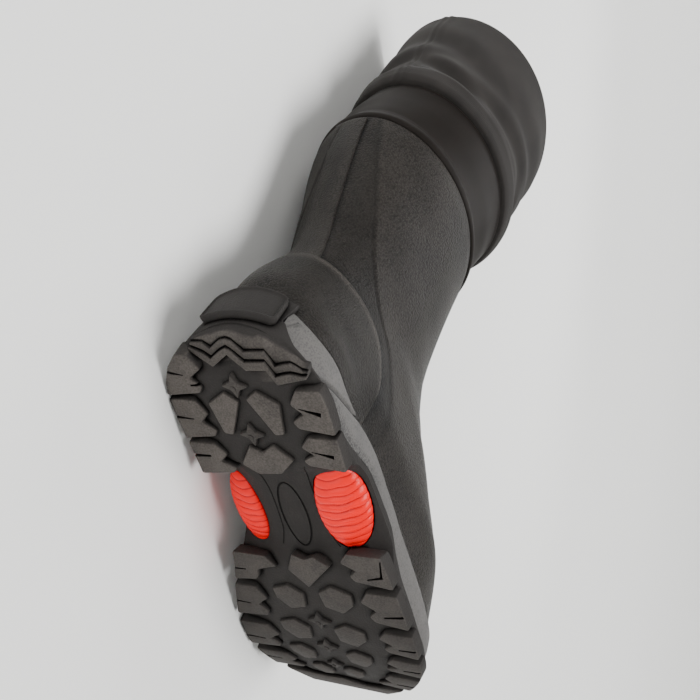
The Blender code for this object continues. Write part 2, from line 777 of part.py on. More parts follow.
def rest_matrix(objects, kinds):
    """Placement that lays the boot on its medial side, on the hull face under its centre of mass."""
    depsgraph = bpy.context.evaluated_depsgraph_get()
    depsgraph.update()
    cloud = bmesh.new()
    mass = 0.0
    moment = Vector((0.0, 0.0, 0.0))
    for obj in objects:
        bm = mesh_of(obj, depsgraph)
        bmesh.ops.triangulate(bm, faces=bm.faces)
        density = DENSITY[kinds[obj.name]]
        for face in bm.faces:
            a, b, c = (v.co for v in face.verts)
            cell = density * a.dot(b.cross(c)) / 6.0
            mass += cell
            moment += cell * (a + b + c) / 4.0
        for vert in bm.verts:
            cloud.verts.new(vert.co)
        bm.free()
    centre = moment / mass
    bmesh.ops.convex_hull(cloud, input=cloud.verts)
    bmesh.ops.triangulate(cloud, faces=cloud.faces)
    best = None
    for face in cloud.faces:
        normal = face.normal.copy()
        if normal.dot(face.calc_center_median() - centre) < 0.0:
            normal.negate()
        if normal.y < 0.7:
            continue
        a, b, c = (v.co for v in face.verts)
        foot = centre + normal * (a - centre).dot(normal)
        inside = all(
            (q - p).cross(foot - p).dot((b - a).cross(c - a)) >= 0.0
            for p, q in ((a, b), (b, c), (c, a))
        )
        if inside:
            best = normal
    points = [v.co.copy() for v in cloud.verts]
    cloud.free()
    down = best
    along = (Vector((1.0, 0.0, 0.0)) - down * down.x).normalized()
    up = -down
    side = up.cross(along)
    turn = Matrix((along, side, up)).to_4x4()
    placed = [turn @ p for p in points]
    low = [min(p[i] for p in placed) for i in range(3)]
    high = [max(p[i] for p in placed) for i in range(3)]
    shift = Vector((-(low[0] + high[0]) / 2.0, -(low[1] + high[1]) / 2.0, -low[2]))
    return Matrix.Translation(shift) @ turn


def main():
    """Build every piece of the boot and lay it down."""
    for obj in list(bpy.data.objects):
        bpy.data.objects.remove(obj, do_unlink=True)
    parts = bpy.data.collections.new("wader_boot")
    cutters = bpy.data.collections.new("cutters")
    bpy.context.scene.collection.children.link(parts)
    bpy.context.scene.collection.children.link(cutters)
    root = bpy.data.objects.new("boot_frame", None)
    parts.objects.link(root)

    def part(name, bm, mat, smooth=True):
        return make_object(name, bm, mat, parts, root, smooth)

    def cutter(name, bm):
        obj = make_object(name, bm, "black_rubber", cutters, root, False)
        obj.hide_render = True
        obj.display_type = "WIRE"
        return obj

    outsole = part("outsole", sealed(outsole_rings()), "black_rubber", False)
    riser = band_mesh(RISER_SPAN, 0.4, RIM_WALL - GAP, 13.4, 37.5, 12)
    boolean(outsole, cutter("lugs", lugs_mesh()), "UNION")
    boolean(outsole, cutter("crash_pad", crash_pad_mesh()), "UNION")
    boolean(outsole, cutter("riser", riser), "UNION")
    for name, (side, x, share, length, width, depth) in PODS.items():
        pocket = pod_mesh(side, x, share, length, width, depth, POD_RIB_RISE + GAP, 0.0)
        boolean(outsole, cutter(name + "_pocket", pocket), "DIFFERENCE")
    boolean(outsole, cutter("oval_groove", oval_groove_mesh()), "DIFFERENCE")

    midsole = part("midsole", sealed(midsole_rings()), "grey_foam_rubber")
    notch = band_mesh(RISER_SPAN + 0.003, -2.0, RIM_WALL + 0.5, 10.0, 60.0, 12)
    boolean(midsole, cutter("heel_notch", notch), "DIFFERENCE")

    pieces = {"outsole": (outsole, "rubber"), "midsole": (midsole, "foam")}
    for name, (side, x, share, length, width, depth) in PODS.items():
        mesh = pod_mesh(side, x, share, length, width, depth, 0.0, POD_RIB_RISE)
        pieces[name] = (part(name, mesh, "red_rubber"), "rubber")
    pieces["kick_tab"] = (part("kick_tab", kick_tab_mesh(), "black_rubber", False), "rubber")
    pieces["insole"] = (part("insole", sealed(insole_rings()), "footbed_foam"), "foam")
    upper = part("upper", upper_mesh(), "boot_rubber")
    solidify(upper, WALL)
    pieces["upper"] = (upper, "rubber")
    pieces["heel_counter"] = (part("heel_counter", counter_mesh(), "boot_rubber"), "rubber")
    pieces["back_stay"] = (part("back_stay", stay_mesh(), "boot_rubber"), "rubber")
    band = part("cuff_band", loft(oval_rings(BAND_ROWS, TUBE_POINTS, 0.0), capped=False), "band_rubber")
    solidify(band, BAND_WALL)
    pieces["cuff_band"] = (band, "rubber")
    leg = part("leg", loft(oval_rings(LEG_ROWS, TUBE_POINTS, LEG_WAVE), capped=False), "neoprene")
    solidify(leg, LEG_WALL)
    pieces["leg"] = (leg, "neoprene")

    kinds = {name: kind for name, (obj, kind) in pieces.items()}
    root.matrix_world = rest_matrix([obj for obj, kind in pieces.values()], kinds)


main()
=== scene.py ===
"""Looks of a right wader boot that lies on its medial side.

Every shape is worked out in the boot's own millimetres, x from the heel back to the toe, y to the
medial side and z up from the tread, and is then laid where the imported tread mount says.
"""
import json
import logging
import math
from dataclasses import dataclass
from enum import Enum, IntEnum
from typing import Any, Callable, ClassVar, Optional, Sequence

import bmesh
import bpy
import numpy as np
from mathutils import Matrix, Vector


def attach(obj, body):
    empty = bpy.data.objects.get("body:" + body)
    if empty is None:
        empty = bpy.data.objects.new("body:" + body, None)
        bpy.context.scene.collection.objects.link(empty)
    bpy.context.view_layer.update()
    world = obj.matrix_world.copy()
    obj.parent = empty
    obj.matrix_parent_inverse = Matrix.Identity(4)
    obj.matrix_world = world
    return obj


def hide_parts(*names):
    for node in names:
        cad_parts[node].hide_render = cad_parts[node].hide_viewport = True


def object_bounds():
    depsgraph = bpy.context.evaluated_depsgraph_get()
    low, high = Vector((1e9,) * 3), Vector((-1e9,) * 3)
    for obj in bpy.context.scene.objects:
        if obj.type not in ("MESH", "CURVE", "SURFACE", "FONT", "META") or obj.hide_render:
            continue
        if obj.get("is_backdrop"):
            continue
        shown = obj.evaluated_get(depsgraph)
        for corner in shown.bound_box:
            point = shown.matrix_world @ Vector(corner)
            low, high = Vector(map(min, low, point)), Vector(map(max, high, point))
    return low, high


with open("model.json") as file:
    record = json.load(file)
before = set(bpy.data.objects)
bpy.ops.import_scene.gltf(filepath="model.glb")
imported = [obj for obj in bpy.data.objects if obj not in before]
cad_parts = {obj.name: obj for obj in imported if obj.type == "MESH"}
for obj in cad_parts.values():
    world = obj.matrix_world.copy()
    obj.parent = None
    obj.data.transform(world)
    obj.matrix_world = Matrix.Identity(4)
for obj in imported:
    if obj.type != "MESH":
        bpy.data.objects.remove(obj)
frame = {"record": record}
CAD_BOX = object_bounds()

LOG = logging.getLogger("wader_boot")
# Metres in a millimetre, and the distance in millimetres under which points are merged
MM = 0.001
MERGE = 0.002

Rows = Sequence[Sequence[float]]
Array = np.ndarray
Inputs = dict[Any, Any]
BMesh = bmesh.types.BMesh
Object = bpy.types.Object
Tree = bpy.types.NodeTree


class Side(IntEnum):
    """The two sides of the foot, as the sign of y."""

    MEDIAL = 1
    LATERAL = -1


class Slot(str, Enum):
    """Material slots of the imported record."""

    SOLE = "black_rubber"
    BAND = "grey_foam_rubber"
    PAD = "red_rubber"
    BOOT = "boot_rubber"
    TAPE = "band_rubber"
    LEG = "neoprene"
    FOOTBED = "footbed_foam"


class Level(Enum):
    """Columns of the sole's side profile, after the station."""

    PLATE = 0
    SIDE = 1
    TOP = 2
    FLOOR = 3
    RIM = 4
    FLAT = 5


class BandEdge(Enum):
    """Columns of the grey band's table, after the station."""

    LOW = 0
    RIM = 1


class LugKind(Enum):
    """Forms of the lugs in the middle of the tread."""

    STAR = "star"
    KITE = "kite"
    HEXAGON = "hexagon"
    CHEVRON = "chevron"
    ARROW = "arrow"


def blend(rows: Rows, at: Any) -> Array:
    """Read a table smoothly between its rows, without overshoot.

    Args:
        rows: Table whose first column is the place.
        at: Place or places to read.

    Returns:
        The other columns at those places, in a last axis.
    """
    table = np.asarray(rows, float)
    place, values = table[:, 0], table[:, 1:]
    gaps = np.diff(place)[:, None]
    rise = np.diff(values, axis=0) / gaps
    slope = np.zeros_like(values)
    slope[0], slope[-1] = rise[0], rise[-1]
    before, after = rise[:-1], rise[1:]
    same = before * after > 0.0
    total = np.where(same, before + after, 1.0)
    slope[1:-1] = np.where(same, 2.0 * before * after / total, 0.0)
    where = np.clip(np.asarray(at, float), place[0], place[-1])
    k = np.clip(np.searchsorted(place, where, side="right") - 1, 0, len(place) - 2)
    span = gaps[k]
    t = (where - place[k])[..., None] / span
    low, high = values[k], values[k + 1]
    return hermite(low, high, slope[k] * span, slope[k + 1] * span, t)


def hermite(low: Array, high: Array, leave: Array, reach: Array, t: Array) -> Array:
    """Cubic between two values with given slopes.

    Args:
        low: Value at the start.
        high: Value at the end.
        leave: Slope at the start.
        reach: Slope at the end.
        t: Share of the way, 0 to 1.

    Returns:
        The value at t.
    """
    a = (1.0 + 2.0 * t) * (1.0 - t) ** 2
    b = t * (1.0 - t) ** 2
    c = t * t * (3.0 - 2.0 * t)
    d = t * t * (t - 1.0)
    return a * low + b * leave + c * high + d * reach


def ease(value: Any) -> Array:
    """Smooth step from 0 to 1."""
    t = np.clip(np.asarray(value, float), 0.0, 1.0)
    return t * t * (3.0 - 2.0 * t)


def stack(*parts: Any) -> Array:
    """Points from their coordinates, each a number or an array."""
    return np.stack(np.broadcast_arrays(*parts), axis=-1)


def half_turn(phi: Array) -> Array:
    """Angles brought between minus and plus half a turn."""
    return np.arctan2(np.sin(phi), np.cos(phi))


def unit(vectors: Array) -> Array:
    """Vectors scaled to length 1, a zero one left as it is."""
    size = np.linalg.norm(vectors, axis=-1, keepdims=True)
    return vectors / np.where(size > 0.0, size, 1.0)


def trough(across: Array, along: Array, ridge: float, ridge_at: float) -> Array:
    """Depth of a soft valley between two low ridges, by half widths across and half lengths along."""
    valley = np.exp(-across * across) - ridge * np.exp(-(np.abs(across) - ridge_at) ** 2)
    return valley * np.exp(-along * along)


@dataclass(frozen=True)
class Last:
    """Shape of the boot's sole and upper, in millimetres."""

    length: float = 300.0
    heel_round: float = 40.0
    toe_round: float = 78.0
    toe_power: float = 2.25
    rim_wall: float = 3.6
    upper_inset: float = 4.7
    upper_seat: float = 0.7
    rim_lift: float = 1.0
    gap: float = 0.3
    # Shares of a ring's length at which its heel, waist and ball widths hold
    width_places: Sequence[float] = (0.0, 0.18, 0.45, 0.75, 1.0)

    # Plan of the sole: station x, centre line y, half width
    plan: Rows = (
        (0, 0, 42.5), (45, 0, 43.5), (85, -1, 42.5), (120, -2.5, 43),
        (150, -2.5, 46), (185, 0.5, 52), (215, 4, 56.5), (245, 7, 57.5), (270, 9.5, 55), (300, 12, 50),
    )
    # Side profile: station x, plate, lower side edge, outsole top, footbed, rim, flat share of the width
    levels: Rows = (
        (0, 13, 14.5, 17, 29, 38.5, 0.90), (12, 8.5, 10, 13, 27.5, 37.5, 0.92),
        (28, 5.5, 7, 10.5, 27, 37, 0.93), (60, 5.5, 7.5, 13, 27, 38, 0.93),
        (81, 6, 9, 17, 27.6, 39, 0.88), (91, 7.4, 16, 21.5, 28.4, 39, 0.52),
        (104, 8.4, 19.5, 24, 28.8, 38.6, 0.42), (130, 8.6, 20, 24.5, 28.6, 37.8, 0.42),
        (148, 8, 18.2, 23, 27, 37, 0.47), (162, 6.2, 9.5, 16.5, 23.5, 36, 0.85),
        (185, 5.5, 7.2, 13.5, 20.5, 35, 0.93), (205, 5.8, 7.5, 13.5, 20, 35, 0.93),
        (230, 8, 9.8, 15.8, 21.5, 36.8, 0.93), (255, 12.5, 14.2, 20, 25, 41, 0.93),
        (280, 19.5, 21, 26.5, 31, 47.5, 0.92), (300, 26, 27.5, 32.5, 36.5, 53.5, 0.90),
    )
    # Grey band as it shows: station x, lower edge, rim
    band: Rows = (
        (0, 27, 36.5), (6, 22, 35), (8.5, 16.5, 33.8), (12.5, 11.4, 31.5), (20, 9.2, 29),
        (27, 8.3, 28.2), (36, 7.7, 28), (48, 8, 28.6), (61, 10, 30.2), (75, 14.2, 33.4),
        (86, 18.8, 36), (104, 24, 38.2), (130, 25.5, 37.6), (142, 24.2, 36),
        (155, 18.4, 33.6), (173, 13.8, 32.8), (190, 13, 32.2), (207, 12.4, 31.5),
        (230, 15.2, 32.5), (255, 19.8, 37), (280, 26.5, 44), (300, 32.5, 50.5),
    )
    # Toe spring of the tread: station x, height
    springs: Rows = ((0, 0), (195, 0), (230, 2.5), (255, 7), (280, 14), (300, 20.5))
    # Rings of the upper above the rim: rear x, rear z, front x, front z, half width at heel, waist
    # and ball, fullness of the ring's ends, share of the sole's toe-in
    rings: Rows = (
        (1.5, 52, 291.5, 62.5, 43, 44, 54.5, 2.55, 1), (2.5, 64, 283, 70.5, 43, 44, 51, 2.45, 1),
        (6, 77, 262, 77, 42, 43, 47, 2.35, 0.9), (10, 89, 236, 84, 40.2, 42, 43.5, 2.25, 0.75),
        (11.5, 100, 211, 93, 38.8, 41, 41, 2.15, 0.55), (11, 111, 188, 105, 38.2, 40, 39.5, 2.1, 0.35),
        (9, 123, 170, 119, 38.8, 40, 39.5, 2.05, 0.2), (4.5, 138, 157, 137, 40.8, 41.5, 40.5, 2, 0.1),
        (-1.5, 156, 148, 158, 44, 44.5, 43.5, 2, 0), (-9.5, 179, 139.5, 184, 48, 48.5, 47.5, 2, 0),
        (-16, 203, 133, 211, 51.5, 52, 51.5, 2, 0),
    )

    @property
    def last_row(self) -> int:
        """Ring row of the shaft's top; row 0 is on the footbed and row 1 just above the rim."""
        return len(self.rings) + 1

    def end_round(self, x: Array) -> Array:
        """Round off the heel and the toe.

        Args:
            x: Places along the sole.

        Returns:
            Share of the half width that is left at each place.
        """
        heel = np.clip(1.0 - x / self.heel_round, 0.0, 1.0)
        toe = np.clip((x - self.length + self.toe_round) / self.toe_round, 0.0, 1.0)
        at_heel = np.sqrt(1.0 - heel * heel)
        at_toe = (1.0 - toe ** self.toe_power) ** (1.0 / self.toe_power)
        return at_heel * at_toe

    def edge(self, u: Any, side: Any, inset: Any = 0.0) -> tuple[Array, Array]:
        """Plan point of the sole's edge.

        Args:
            u: Station from the heel back (0) to the toe tip (1).
            side: Sign of the side, 1 medial or -1 lateral.
            inset: Distance inside the edge.

        Returns:
            The x and y of the point.
        """
        x = 0.5 * self.length * (1.0 - np.cos(np.pi * np.asarray(u, float)))
        row = blend(self.plan, x)
        y = row[..., 0] + side * (row[..., 1] - inset) * self.end_round(x)
        return inset + x * (self.length - 2.0 * np.asarray(inset)) / self.length, y

    def station(self, x: Any) -> Array:
        """Station u of a plain x along the sole."""
        return np.arccos(np.clip(1.0 - 2.0 * np.asarray(x, float) / self.length, -1.0, 1.0)) / np.pi

    def edge_y(self, x: Any, side: int, inset: float = 0.0) -> Array:
        """The y of the sole's edge at a plain x."""
        share = (np.asarray(x, float) - inset) * self.length / (self.length - 2.0 * inset)
        return self.edge(self.station(np.clip(share, 0.0, self.length)), side, inset)[1]

    def heel_arc(self, places: Array, span: Any, inset: Any) -> tuple[Array, Array]:
        """Plan points round the heel back, at places from -1 at the lateral end to 1 at the medial end."""
        side = np.where(places >= 0.0, 1.0, -1.0)
        return self.edge(np.abs(places) * span, side, inset)

    def level(self, which: Level, x: Any) -> Array:
        """One column of the side profile at x."""
        return blend(self.levels, x)[..., which.value]

    def band_edge(self, which: BandEdge, x: Any) -> Array:
        """Lower edge or rim of the grey band at x."""
        return blend(self.band, x)[..., which.value]

    def spring(self, x: Any) -> Array:
        """Height of the tread at x."""
        return blend(self.springs, x)[..., 0]

    def ring(self, row: int, phi: Array) -> Array:
        """Points of one ring of the upper.

        Args:
            row: Ring row.
            phi: Angles from the toe, running to the medial side.

        Returns:
            Points, one for each angle.
        """
        turn = half_turn(phi)
        side = np.where(turn >= 0.0, 1.0, -1.0)
        if row < 2:
            x, y = self.edge(1.0 - np.abs(turn) / np.pi, side, self.upper_inset)
            on_floor = self.level(Level.FLOOR, x) + self.upper_seat
            return stack(x, y, on_floor if row == 0 else self.level(Level.RIM, x) + self.rim_lift)
        rear_x, rear_z, front_x, front_z, heel, waist, ball, full, toe_in = self.rings[row - 2]
        s = 0.5 * (1.0 + np.cos(turn))
        x = rear_x + (front_x - rear_x) * s
        z = rear_z + (front_z - rear_z) * s
        widths = tuple(zip(self.width_places, (heel, heel, waist, ball, ball)))
        width = blend(widths, s)[..., 0]
        end = np.clip(1.0 - np.abs(2.0 * s - 1.0) ** full, 0.0, 1.0) ** (1.0 / full)
        swing = blend(self.plan, x)[..., 0] * toe_in
        return stack(x, swing + side * width * end, z)

    def upper(self, v: Array, phi: Array) -> Array:
        """Points of the upper's outer face.

        Args:
            v: Ring rows, a table of rows by columns.
            phi: Angle of each column, or of each point.

        Returns:
            Table of points, rows by columns by three.
        """
        last = self.last_row
        angles = np.broadcast_to(phi, v.shape)
        rings = np.stack([self.ring(row, angles) for row in range(last + 1)])
        v = np.clip(v, 0.0, last)
        k = np.clip(v.astype(int), 0, last - 1)
        t = (v - k)[..., None]
        i, j = np.indices(v.shape)
        low, high = rings[k, i, j], rings[k + 1, i, j]
        under, over = rings[np.maximum(k - 1, 0), i, j], rings[np.minimum(k + 2, last), i, j]
        before = np.where((k > 1)[..., None], under, 2.0 * low - high)
        after = np.where((k + 2 <= last)[..., None], over, 2.0 * high - low)
        curved = hermite(low, high, 0.5 * (high - before), 0.5 * (after - low), t)
        return np.where((k == 0)[..., None], low + (high - low) * t, curved)


LAST = Last()
# Middle of the lug under the ball that carries the tread mount
BALL_LUG = Vector((185.0, 17.0, 0.0))


def lie_down(record: dict[str, Any]) -> Matrix:
    """Work out how the boot lies from the tread mount, a lug's face under the ball.

    Args:
        record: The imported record.

    Returns:
        The matrix from the boot's millimetres to metres in the shared frame.
    """
    mount = next(m for m in record["mounts"] if m["name"] == "tread_face")
    up = -Vector(mount["axis"]).normalized()
    along = Vector((up.z, 0.0, -up.x)).normalized()
    across = up.cross(along)
    turn = Matrix((along, across, up)).transposed().to_4x4()
    placed = turn @ Matrix.Scale(MM, 4)
    return Matrix.Translation(Vector(mount["pos_m"]) - placed @ BALL_LUG) @ placed


PLACE = lie_down(frame["record"])


def outward(points: Array, wrap: bool = False) -> Array:
    """Unit normals of a table of points, columns turning to the left of rows.

    Args:
        points: Table of points, rows by columns by three.
        wrap: Whether the last column meets the first.

    Returns:
        A normal for each point.
    """
    if wrap:
        padded = np.concatenate((points[:, -2:-1], points, points[:, 1:2]), axis=1)
        across = np.gradient(padded, axis=1)[:, 1:-1]
    else:
        across = np.gradient(points, axis=1)
    return unit(np.cross(across, np.gradient(points, axis=0)))


def sheet_mesh(
    points: Array,
    wrap: bool = False,
    loop: bool = False,
    lined_from: Optional[int] = None,
    tone: Optional[Array] = None,
) -> BMesh:
    """Lay the grid operator's flat sheet onto a table of points.

    Args:
        points: Table of points, rows by columns by three.
        wrap: Whether the last column meets the first and is merged with it.
        loop: Whether the open ends of a wrapped sheet are closed with faces.
        lined_from: Row from which the faces take the second material.
        tone: Painted light and shade of each point, from -1 for a painted dark line to 1 for a painted
            highlight.

    Returns:
        The shaped sheet, with a UV map from 0 to 1 both ways.
    """
    rows, cols = points.shape[:2]
    bm = bmesh.new()
    bm.loops.layers.uv.new("UVMap")
    bmesh.ops.create_grid(bm, x_segments=cols - 1, y_segments=rows - 1, size=0.5, calc_uvs=True)
    if lined_from is not None:
        start = lined_from / (rows - 1) - 0.5
        for face in bm.faces:
            face.material_index = int(face.calc_center_median().y > start)
    shade = None if tone is None else bm.verts.layers.float.new("tone")
    for vert in bm.verts:
        i = round((vert.co.y + 0.5) * (rows - 1))
        j = round((vert.co.x + 0.5) * (cols - 1))
        vert.co = points[i, j]
        if shade is not None:
            vert[shade] = float(tone[i, j])
    if wrap:
        bmesh.ops.remove_doubles(bm, verts=bm.verts, dist=MERGE)
    if loop:
        rim = [edge for edge in bm.edges if edge.is_boundary]
        bmesh.ops.holes_fill(bm, edges=rim, sides=0)
    return bm


def face_out(bm: BMesh) -> BMesh:
    """Turn all faces of one closed form outwards.

    Args:
        bm: The form.

    Returns:
        The same form.
    """
    bmesh.ops.recalc_face_normals(bm, faces=bm.faces)
    if bm.calc_volume(signed=True) < 0.0:
        bmesh.ops.reverse_faces(bm, faces=bm.faces)
    return bm


def ring_mesh(lines: Sequence[Array], ends: bool = True) -> BMesh:
    """Closed form with a ring of points at each station.

    Args:
        lines: Lines of points along the form, in order round it.
        ends: Whether the ends are closed with faces; otherwise the lines meet there.

    Returns:
        The form with its faces turned outwards.
    """
    bm = sheet_mesh(np.stack([*lines, lines[0]], axis=1), wrap=True, loop=ends)
    if not ends:
        bmesh.ops.dissolve_degenerate(bm, edges=bm.edges, dist=MERGE)
    return face_out(bm)


def lifted(points: Array, lift: Array) -> BMesh:
    """Tube through points that are moved out along their normals.

    Args:
        points: Table of points, the last column over the first.
        lift: How far each point moves.

    Returns:
        The tube, open at both ends.
    """
    moved = points + outward(points, wrap=True) * lift[..., None]
    moved[:, -1] = moved[:, 0]
    return sheet_mesh(moved, wrap=True)


def pull(corners: Rows) -> tuple[BMesh, bmesh.types.BMFace, list[bmesh.types.BMVert]]:
    """Extrude one face, without moving it yet.

    Args:
        corners: Corners of the face.

    Returns:
        The mesh, the face that stays and the corners to move.
    """
    bm = bmesh.new()
    face = bm.faces.new([bm.verts.new(corner) for corner in corners])
    pulled = bmesh.ops.extrude_face_region(bm, geom=[face], use_keep_orig=True)["geom"]
    return bm, face, [item for item in pulled if isinstance(item, bmesh.types.BMVert)]


def to_mesh(name: str, bm: BMesh) -> bpy.types.Mesh:
    """Turn a working mesh into one of the file's.

    Args:
        name: Name of the mesh.
        bm: Working mesh, used up.

    Returns:
        The mesh.
    """
    mesh = bpy.data.meshes.new(name)
    bm.to_mesh(mesh)
    bm.free()
    return mesh


def link(name: str, data: Any) -> Object:
    """Add an object to the scene.

    Args:
        name: Name of the object.
        data: Its mesh, light or camera.

    Returns:
        The object.
    """
    obj = bpy.data.objects.new(name, data)
    bpy.context.scene.collection.objects.link(obj)
    return obj


def join(target: BMesh, added: BMesh) -> BMesh:
    """Add one mesh to another and free it.

    Args:
        target: Mesh that grows.
        added: Mesh that is used up.

    Returns:
        The grown mesh.
    """
    mesh = to_mesh("joined", added)
    target.from_mesh(mesh)
    bpy.data.meshes.remove(mesh)
    return target


def carve(body: BMesh, tool: BMesh) -> BMesh:
    """Cut one closed form out of another with the exact solver.

    Args:
        body: Form that is cut, used up.
        tool: Form that cuts, used up.

    Returns:
        What is left of the body.
    """
    objects = [link(name, to_mesh(name, bm)) for name, bm in (("body", body), ("tool", tool))]
    cut = objects[0].modifiers.new("cut", "BOOLEAN")
    cut.operation = "DIFFERENCE"
    cut.solver = "EXACT"
    cut.object = objects[1]
    depsgraph = bpy.context.evaluated_depsgraph_get()
    made = bpy.data.meshes.new_from_object(objects[0].evaluated_get(depsgraph))
    left = bmesh.new()
    left.from_mesh(made)
    used = [obj.data for obj in objects]
    for obj in objects:
        bpy.data.objects.remove(obj, do_unlink=True)
    for mesh in used + [made]:
        bpy.data.meshes.remove(mesh)
    return left


def mark(bm: BMesh, name: str, shade: Callable[[Array], Array]) -> None:
    """Write an attribute to every vertex.

    Args:
        bm: Mesh to mark.
        name: Name of the attribute.
        shade: Function that gives the value at each of a list of points.
    """
    values = shade(np.array([vert.co for vert in bm.verts]))
    layer = bm.verts.layers.float.new(name)
    for vert, value in zip(bm.verts, values):
        vert[layer] = value


def wall(obj: Object, thickness: float, inner: int = 0, even: bool = True) -> None:
    """Give a sheet a wall on its inner side.

    Args:
        obj: Object to thicken.
        thickness: Wall in millimetres.
        inner: Step to the material slot of the inner face.
        even: Whether the wall keeps its thickness round corners.
    """
    mod = obj.modifiers.new("wall", "SOLIDIFY")
    mod.thickness = thickness * MM
    mod.offset = -1.0
    mod.use_even_offset = even
    mod.material_offset = inner


def linear(hex_colour: str) -> tuple[float, float, float, float]:
    """Turn an sRGB colour into a linear one.

    Args:
        hex_colour: Hash sign and six hex digits.

    Returns:
        Linear red, green, blue and a full alpha.
    """
    channels = [int(hex_colour[i:i + 2], 16) / 255.0 for i in (1, 3, 5)]
    values = [c / 12.92 if c <= 0.04045 else ((c + 0.055) / 1.055) ** 2.4 for c in channels]
    return values[0], values[1], values[2], 1.0


def per_mm(size: float) -> float:
    """Texture scale in Object coordinates for a feature of that many millimetres."""
    return 1.0 / (size * MM)


def feed(tree: Tree, node: bpy.types.Node, values: Inputs) -> None:
    """Give a node its settings and links.

    Args:
        tree: Node tree of the node.
        node: Node to set up.
        values: What goes where, by attribute name or by an input's name or number. A socket is linked, a
            node is linked by its first output, and anything else is set.
    """
    for name, value in values.items():
        if isinstance(name, str) and hasattr(node, name):
            setattr(node, name, value)
        elif isinstance(value, bpy.types.Node):
            tree.links.new(value.outputs[0], node.inputs[name])
        elif isinstance(value, bpy.types.NodeSocket):
            tree.links.new(value, node.inputs[name])
        else:
            node.inputs[name].default_value = value


def add_node(tree: Tree, kind: str, values: Optional[Inputs] = None) -> bpy.types.Node:
    """Add a shader node with its settings and links.

    Args:
        tree: Node tree to add to.
        kind: Blender's name of the node type, without its ShaderNode prefix.
        values: What feed takes.

    Returns:
        The new node.
    """
    node = tree.nodes.new("ShaderNode" + kind)
    feed(tree, node, values or {})
    return node


@dataclass(frozen=True)
class Finish:
    """A surface finish: the common name of the material, its colour and its gloss."""

    name: str
    colour: str
    roughness: float
    ior: float

    def material(self) -> bpy.types.Material:
        """Make the Blender material once, and hand out the same one afterwards.

        Returns:
            The material.
        """
        found = bpy.data.materials.get(self.name)
        if found is not None:
            return found
        made = bpy.data.materials.new(self.name)
        made.use_nodes = True
        made.diffuse_color = linear(self.colour)
        tree = made.node_tree
        shader = tree.nodes["Principled BSDF"]
        plain = {"Base Color": linear(self.colour), "Roughness": self.roughness, "IOR": self.ior}
        feed(tree, shader, plain)
        feed(tree, shader, self.paint(tree, add_node(tree, "TexCoord").outputs))
        return made

    def layered(self, tree: Tree, layers: Sequence[tuple[Any, str]]) -> Any:
        """Lay colours over the finish's own, one after the other.

        Args:
            tree: The material's nodes.
            layers: How far each colour covers, as a socket or a node, and the colour.

        Returns:
            Socket of the last mix.
        """
        under = linear(self.colour)
        for share, over in layers:
            mixed = add_node(tree, "Mix", {"data_type": "RGBA", 0: share, 6: under, 7: linear(over)})
            under = mixed.outputs[2]
        return under

    def paint_hollow_shade(self, tree: Tree, colour: Any, deep: str, reach: float,
               opens: tuple[float, float] = (0.3, 0.85)) -> Any:
        """Paint shade into hollows, where an ambient occlusion node finds the surface hemmed in.

        Args:
            tree: The material's nodes.
            colour: Socket of the open colour.
            deep: Colour of the painted shade in the hollows.
            reach: Size of the hollows in millimetres.
            opens: Openness at which a place is fully dark, and at which it is fully open.

        Returns:
            Socket of the darkened colour.
        """
        # Painted shade: ambient occlusion darkens the colour in hollows and crevices
        hollow = add_node(tree, "AmbientOcclusion", {"samples": 8, "Distance": reach * MM})
        shade = add_node(tree, "MapRange", {
            "Value": hollow.outputs["AO"], "From Min": opens[0], "From Max": opens[1]})
        dark = add_node(tree, "Mix", {"data_type": "RGBA", 0: shade, 6: linear(deep), 7: colour})
        return dark.outputs[2]

    def paint(self, tree: Tree, at: Any) -> Inputs:
        """Add the finish's own nodes."""
        raise NotImplementedError


@dataclass(frozen=True)
class SoleRubber(Finish):
    """Black vulcanised rubber from a blasted mould: matte, pebbled at the sides, greyed where it wears."""

    worn: str = "#5a5551"
    # Colour of the shade painted into the crevices
    deep: str = "#050404"
    pebble: float = 1.0
    patch: float = 9.0
    hollow_shade_reach: float = 3.2
    speckle: float = 1.3

    def paint(self, tree: Tree, at: Any) -> Inputs:
        """Grey the tread faces, paint shade into the crevices and pebble the skin.

        Args:
            tree: The material's nodes.
            at: Texture coordinates by name.

        Returns:
            Inputs of the shader.
        """
        wear = add_node(tree, "Attribute", {"attribute_name": "wear"})
        patches = add_node(tree, "TexNoise", {
            "Vector": at["Object"], "Scale": per_mm(self.patch), "Detail": 5.0})
        grit = add_node(tree, "TexNoise", {
            "Vector": at["Object"], "Scale": per_mm(self.pebble), "Detail": 2.0})
        specks = add_node(tree, "Math", {"operation": "MULTIPLY_ADD", 0: grit, 1: self.speckle, 2: patches})
        scuffed = add_node(tree, "MapRange", {
            "Value": specks, "From Min": 0.75, "From Max": 1.55, "To Min": 0.25, "To Max": 1.0})
        amount = add_node(tree, "Math", {"operation": "MULTIPLY", 0: wear.outputs["Fac"], 1: scuffed})
        greyed = self.layered(tree, ((amount, self.worn),))
        return {
            # Painted shade in the crevices round the lugs and in the grooves
            "Base Color": self.paint_hollow_shade(tree, greyed, self.deep, self.hollow_shade_reach, (0.5, 0.96)),
            "Roughness": add_node(tree, "MapRange", {
                "Value": patches, "To Min": self.roughness - 0.1, "To Max": self.roughness + 0.14}),
            "Normal": add_node(tree, "Bump", {"Height": grit, "Strength": 0.7, "Distance": 0.4 * MM}),
        }


